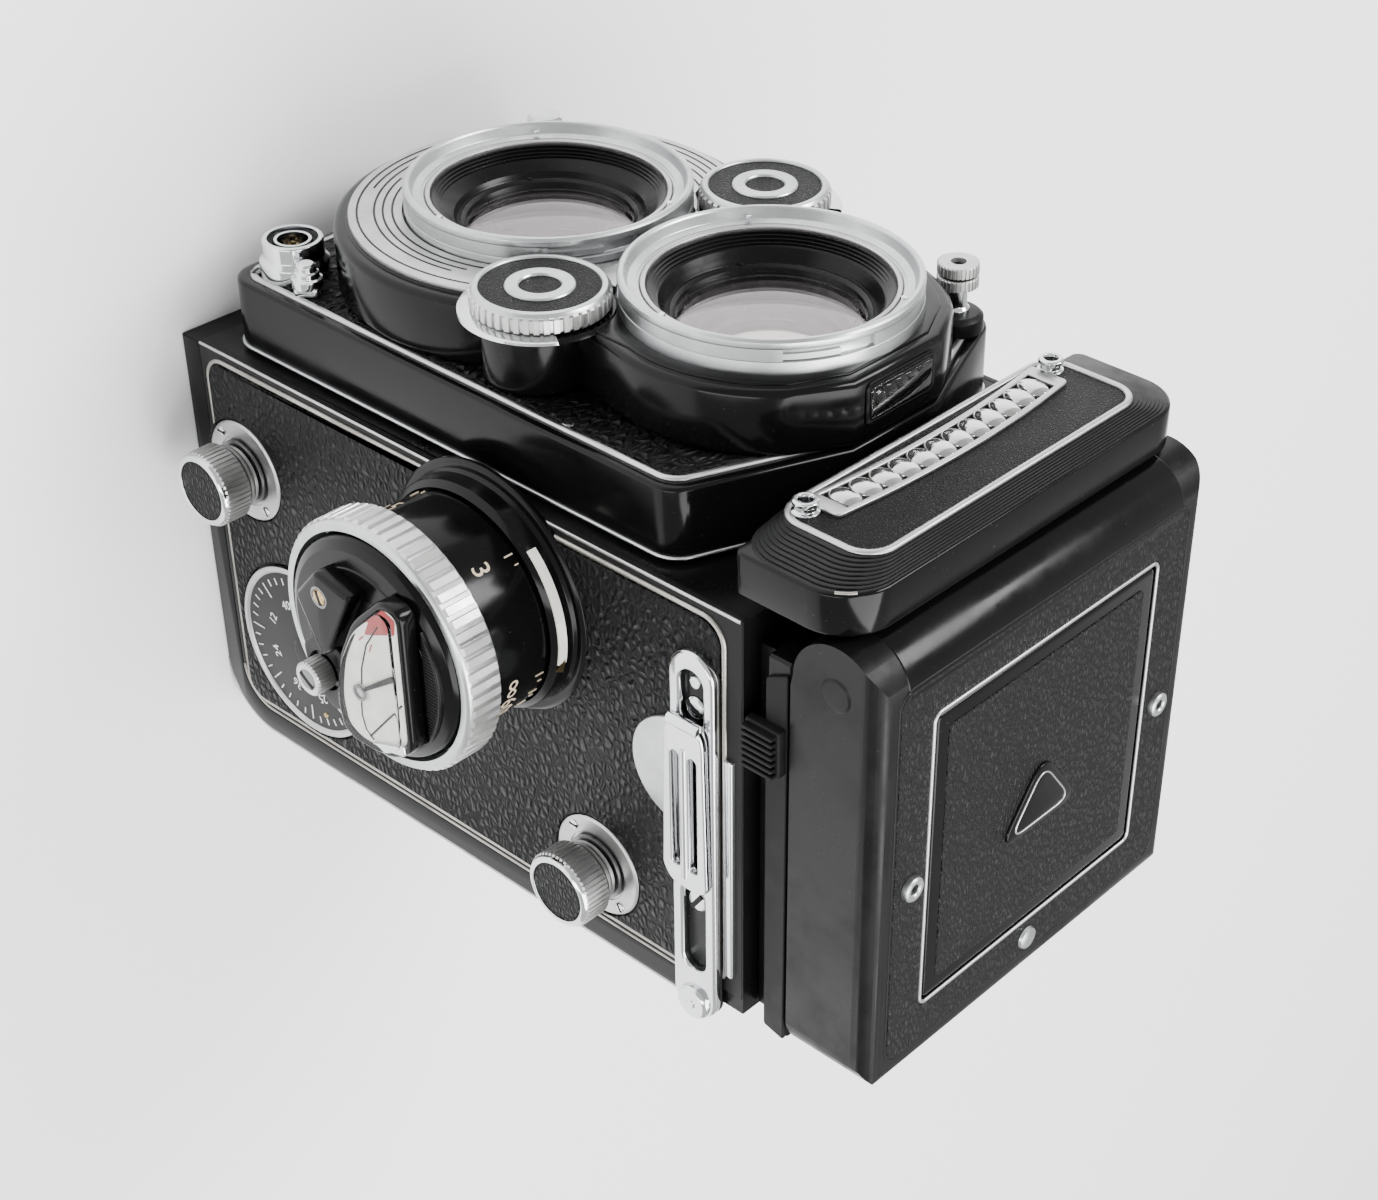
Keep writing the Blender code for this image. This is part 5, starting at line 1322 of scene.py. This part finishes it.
def make_hood_base():
    low, high = low_high("hood_base_frame")
    for i, side in enumerate((1, -1)):
        levels = side_levels(side, 36.4, 37.2)
        strip = softened([(high.y, high.z - 0.3), (high.y - 1.0, low.z + 3.0), (low.y + 3.4, low.z + 3.0),
                          (low.y + 1.6, high.z - 0.3)], 0.5)
        plate(f"hood_side_strip_{i}", [strip], *levels, "X", MATTE_BLACK, "camera_body", 0.2)
        bar = side_levels(side, SIDE - 1.2, SIDE + 0.9)
        box_piece(f"hood_side_bar_{i}", (bar[0], 24.0, 117.9), (bar[1], 64.0, 119.5), CHROME, "camera_body",
                  0.3)


def make_flap_details():
    """Leaf springs and rivets on the side flaps, and the magnifier's rim."""
    for i, (node, side) in enumerate((("knob_side_hood_flap", 1), ("crank_side_hood_flap", -1))):
        for k, y in enumerate((24.0, 40.0, 56.0)):
            lathe(f"flap_rivet_{i}_{k}", [(0.0, 0.35), (0.7, 0.3), (1.0, 0.0), (0.0, -0.1)],
                  (side * 31.0, y, 130.4), "+Z", DARK_STEEL, node, 24, 0.0)
        low, high = sorted((side * 27.0, side * 32.4))
        box_piece(f"flap_leaf_{i}", (low, 20.0, 130.35), (high, 60.0, 130.6), MATTE_BLACK, node, 0.1)
    ring = [(14.0, 0.5), (14.0, 1.0), (13.5, 1.25), (12.3, 1.25), (12.0, 0.7), (12.0, 0.5)]
    lathe("magnifier_rim", ring, (0.0, middle("magnifier_lens").y, 138.7), "+Z", SATIN_BLACK, "magnifier", 96,
          0.1)


# --- back door and base -------------------------------------------------------------------------
def make_door():
    ride = "back_door"
    low, high = low_high("back_door")
    back, heel = DOOR_BACK, 11.0
    outer = [(0.4, 0.0)] + arc((back - heel, heel), heel, -90.0, 90.0, 28)
    outer += arc(DOOR_HINGE, 2.6, 0.0, 180.0, 14)
    inner = [(69.0, 112.3)] + arc((62.3, 11.1), 6.7, 0.0, -90.0, 16) + [(0.4, 4.4)]
    door = plate("door", [outer + inner], low.x, high.x, "X", GLOSS, ride, 0.4)
    for name, box_low, box_high in (("back", (-34, 60.0, 14.0), (34, back - 1.4, 106.5)),
                                    ("base", (-34, 3.5, 1.4), (34, 60.0, 12.0))):
        carve(door, plate_mesh(name, [rectangle(box_low, box_high)], box_low[2], box_high[2], "Z", 0.0))
    carve(door, plate_mesh("socket_hole", [circle((0.0, SOCKET_Y), 11.6)], -2.0, 8.0, "Z", 0.0))
    carve(door, plate_mesh("pin_hole", [circle(DOOR_HINGE, 1.6)], -45.0, 45.0, "X", 0.0))
    soft_edges(door, 0.2)
    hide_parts("back_door")
    plate("door_leather", [rounded_box((-36.2, 13.0), (36.2, 104.6), 2.2, 10)], back - 0.2, back + 0.45, "Y",
          LEATHER, ride, 0.3)
    bead = [(x, back, z) for x, z in rounded_box((-36.7, 12.5), (36.7, 105.1), 2.7, 10)]
    rail("door_bead", bead, 0.38, WORN_RIM_AND_EDGE_HIGHLIGHT, ride, True)
    # Bright strips along the door's side edges: painted highlights.
    for i, side in enumerate((1, -1)):
        line = [(side * 37.75, y, z) for y, z in outer[2:-10]]
        rail(f"door_edge_{i}", line, 0.3, WORN_RIM_AND_EDGE_HIGHLIGHT, ride)
    lathe("door_knuckle", [(2.7, -34.0), (2.7, 34.0), (2.2, 34.0), (2.2, -34.0)], (0.0, *DOOR_HINGE), "+X",
          SATIN_BLACK, ride, 48, 0.15)
    guide = [(17.6, 0.02), (17.6, 0.3), (17.0, 0.45), (12.6, 0.45), (12.2, 0.3), (12.2, 0.02)]
    lathe("base_ring", guide, (0.0, SOCKET_Y, -0.02), "+Z", SILVER, ride, 96, 0.0)
    for i in range(8):
        a = math.radians(22.5 + 45.0 * i)
        lathe(f"base_mark_{i}", [(0.0, 0.3), (0.5, 0.3), (0.5, 0.0), (0.0, 0.0)],
              (14.8 * math.cos(a), SOCKET_Y + 14.8 * math.sin(a), -0.03), "+Z", DEEP_BLACK, ride, 16, 0.0)
    for i, (x, y) in enumerate(((-30.0, 7.5), (30.0, 7.5), (-30.0, 58.0), (30.0, 58.0))):
        lathe(f"base_foot_{i}", [(4.0, 0.9), (4.0, 0.25), (3.5, -0.02), (0.0, -0.02), (0.0, 0.9)][::-1],
              (x, y, 0.0), "+Z", MATTE_BLACK, ride, 48, 0.0)
    plate("base_latch", [rounded_box((-9.0, 1.2), (9.0, 5.4), 1.4)], -0.03, 0.6, "Z", SILVER, ride, 0.2)


def make_tripod_socket():
    """The tripod socket: a bush with rings like the turns of a thread down its bore."""
    at = (0.0, SOCKET_Y, 0.0)
    bore, depth, pitch = 4.9, 5.2, 1.27
    bush = [(0.0, 6.7), (10.6, 6.7), (10.6, 0.4), (10.2, 0.0), (5.5, 0.0), (bore, 0.6)]
    turns = int((depth - 0.9) / pitch)
    for k in range(turns):
        level = 0.8 + k * pitch
        bush += [(bore, level), (bore - 0.55, level + pitch * 0.5), (bore, level + pitch * 0.98)]
    bush += [(bore, depth), (0.0, depth)]
    made = lathe("socket_bush", bush, at, "+Z", SILVER, "camera_body", 72, 0.0, 25.0)
    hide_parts("tripod_socket")
    # The bush's holes are black discs: painted shade in place of holes.
    for i in range(2):
        a = math.radians(45.0 + 180.0 * i)
        lathe(f"bush_hole_{i}", [(0.0, 0.4), (0.8, 0.4), (0.8, -0.01), (0.0, -0.01)],
              (7.9 * math.cos(a), SOCKET_Y + 7.9 * math.sin(a), 0.0), "+Z", DEEP_BLACK, "camera_body", 24, 0.0)


# --- crank side ---------------------------------------------------------------------------------
def make_crank():
    at = (0.0, CRANK.y, CRANK.z)
    out = SIDE + 0.3
    lathe("crank_escutcheon", [(10.2, 38.7), (10.2, 39.1), (9.8, 39.35), (6.9, 39.2), (6.6, 38.9), (6.6, 38.4),
                               (10.0, 38.4)], at, "-X", SILVER, "camera_body", 96, 0.08)
    for i in range(3):
        a = math.radians(90.0 + 120.0 * i)
        screw(f"crank_screw_{i}", (-39.15, at[1] + 8.4 * math.cos(a), at[2] + 8.4 * math.sin(a)), "-X", 0.9,
              0.35, CHROME, "camera_body", 40.0 * i)
    hub = plate("hub_drum", [circle((at[1], at[2]), 6.0, 96)], -out - 4.6, -out, "X", RING_SILVER, "crank_hub",
                0.4)
    carve(hub, plate_mesh("hub_slot", [rounded_box((at[1] - 2.6, at[2] - 10.0), (at[1] + 2.6, at[2] + 10.0),
                                                   0.2)], -50.0, -out - 0.8, "X", 0.0))
    soft_edges(hub, 0.15)
    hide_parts("crank_hub")
    low, high = low_high("crank_arm")
    outline = rounded_box((low.y, low.z), (high.y, high.z), 2.25, 12)
    groove = rounded_box((at[1] - 1.0, low.z + 7.0), (at[1] + 1.0, high.z - 9.0), 0.9, 8)
    arm = plate("arm", [outline], low.x, high.x, "X", RING_SILVER, "crank_arm", 0.4)
    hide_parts("crank_arm")
    plate("arm_inlay", [groove], low.x - 0.08, low.x + 0.3, "X", SATIN_BLACK, "crank_arm", 0.05)
    rail("arm_pin", [(-41.4, at[1] - 2.55, at[2]), (-41.4, at[1] + 2.55, at[2])], 0.75, CHROME, "crank_arm",
         resolution=5)
    grip = (0.0, middle("crank_handle").y, middle("crank_handle").z)
    profile = [(0.0, 47.9), (1.9, 47.8), (2.9, 47.2), (3.3, 46.2), (3.0, 44.6), (3.3, 43.6), (2.6, 42.7),
               (0.0, 42.7)]
    handle = lathe("handle_grip", profile, grip, "-X", SATIN_BLACK, "crank_handle", 64, 0.3)
    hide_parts("crank_handle")
    lathe("handle_cap", [(0.0, 48.15), (0.8, 48.1), (1.1, 47.8), (0.0, 47.7)], grip, "-X", CHROME,
          "crank_handle", 32, 0.0)
    for i, spot in enumerate(POCKETS):
        cup = [(4.7, 38.2), (4.7, 38.95), (4.4, 39.05), (4.05, 38.8), (4.05, 38.2)]
        lathe(f"pocket_rim_{i}", cup, (0.0, *spot), "-X", DARK_STEEL, "camera_body", 56, 0.05)
    lock = (0.0, 50.2, 24.0)
    dial = [(0.0, 39.6), (6.0, 39.6), (6.9, 39.2), (7.3, 38.4), (0.0, 38.4)]
    lathe("exposure_plate", dial, lock, "-X", SATIN_BLACK, "camera_body", 72, 0.1)
    lathe("exposure_rim", [(7.9, 38.5), (7.9, 38.95), (7.3, 39.2), (7.0, 38.9), (7.0, 38.5)], lock, "-X",
          SILVER, "camera_body", 96, 0.08)
    plate("counter_frame", [rounded_box((40.6, 84.2), (52.4, 91.2), 2.2),
                            rounded_box((42.0, 85.6), (51.0, 89.8), 1.4)], -39.7, -38.4, "X", SILVER,
          "camera_body", 0.3)
    plate("counter_card", [rounded_box((41.8, 85.4), (51.2, 90.0), 1.4)], -39.0, -38.5, "X", DEEP_BLACK,
          "camera_body", 0.05)
    lettering("counter_value", "12", 3.4, lambda u, v, w: (-39.02 - w, 46.5 - u, 87.7 + v), WHITE_PAINT,
              "camera_body", 0.02)
    plate("counter_glass", [rounded_box((41.9, 85.5), (51.1, 89.9), 1.4)], -39.6, -39.1, "X", CLEAR,
          "camera_body", 0.15)


# --- building it all ----------------------------------------------------------------------------
finish_nodes()
stage_and_light()
make_camera()
lens_group("taking", TAKING, 12.6, TAKING_GLASS)
lens_group("viewing", VIEWING, 13.6, VIEWING_GLASS)
make_standard()
make_board()
make_wheel("aperture_wheel", 1)
make_wheel("shutter_speed_wheel", -1)
make_front_controls()
body_side("knob_side", 1, KNOB_OPENINGS)
body_side("crank_side", -1, CRANK_OPENINGS)
make_focus_knob()
make_meter_readout()
make_side_controls()
for side_label, side_way in (("knob_side", 1), ("crank_side", -1)):
    make_strap_fittings(side_label, side_way)
    make_hood_catch(side_label, side_way)
for cad_name in ("body_casting", "hood_base_frame", "light_shield_box", "magnifier_frame"):
    soft_edges(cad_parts[cad_name], 0.2)
make_meter_block()
make_lid()
make_hood_base()
make_flap_details()
make_door()
make_tripod_socket()
make_crank()
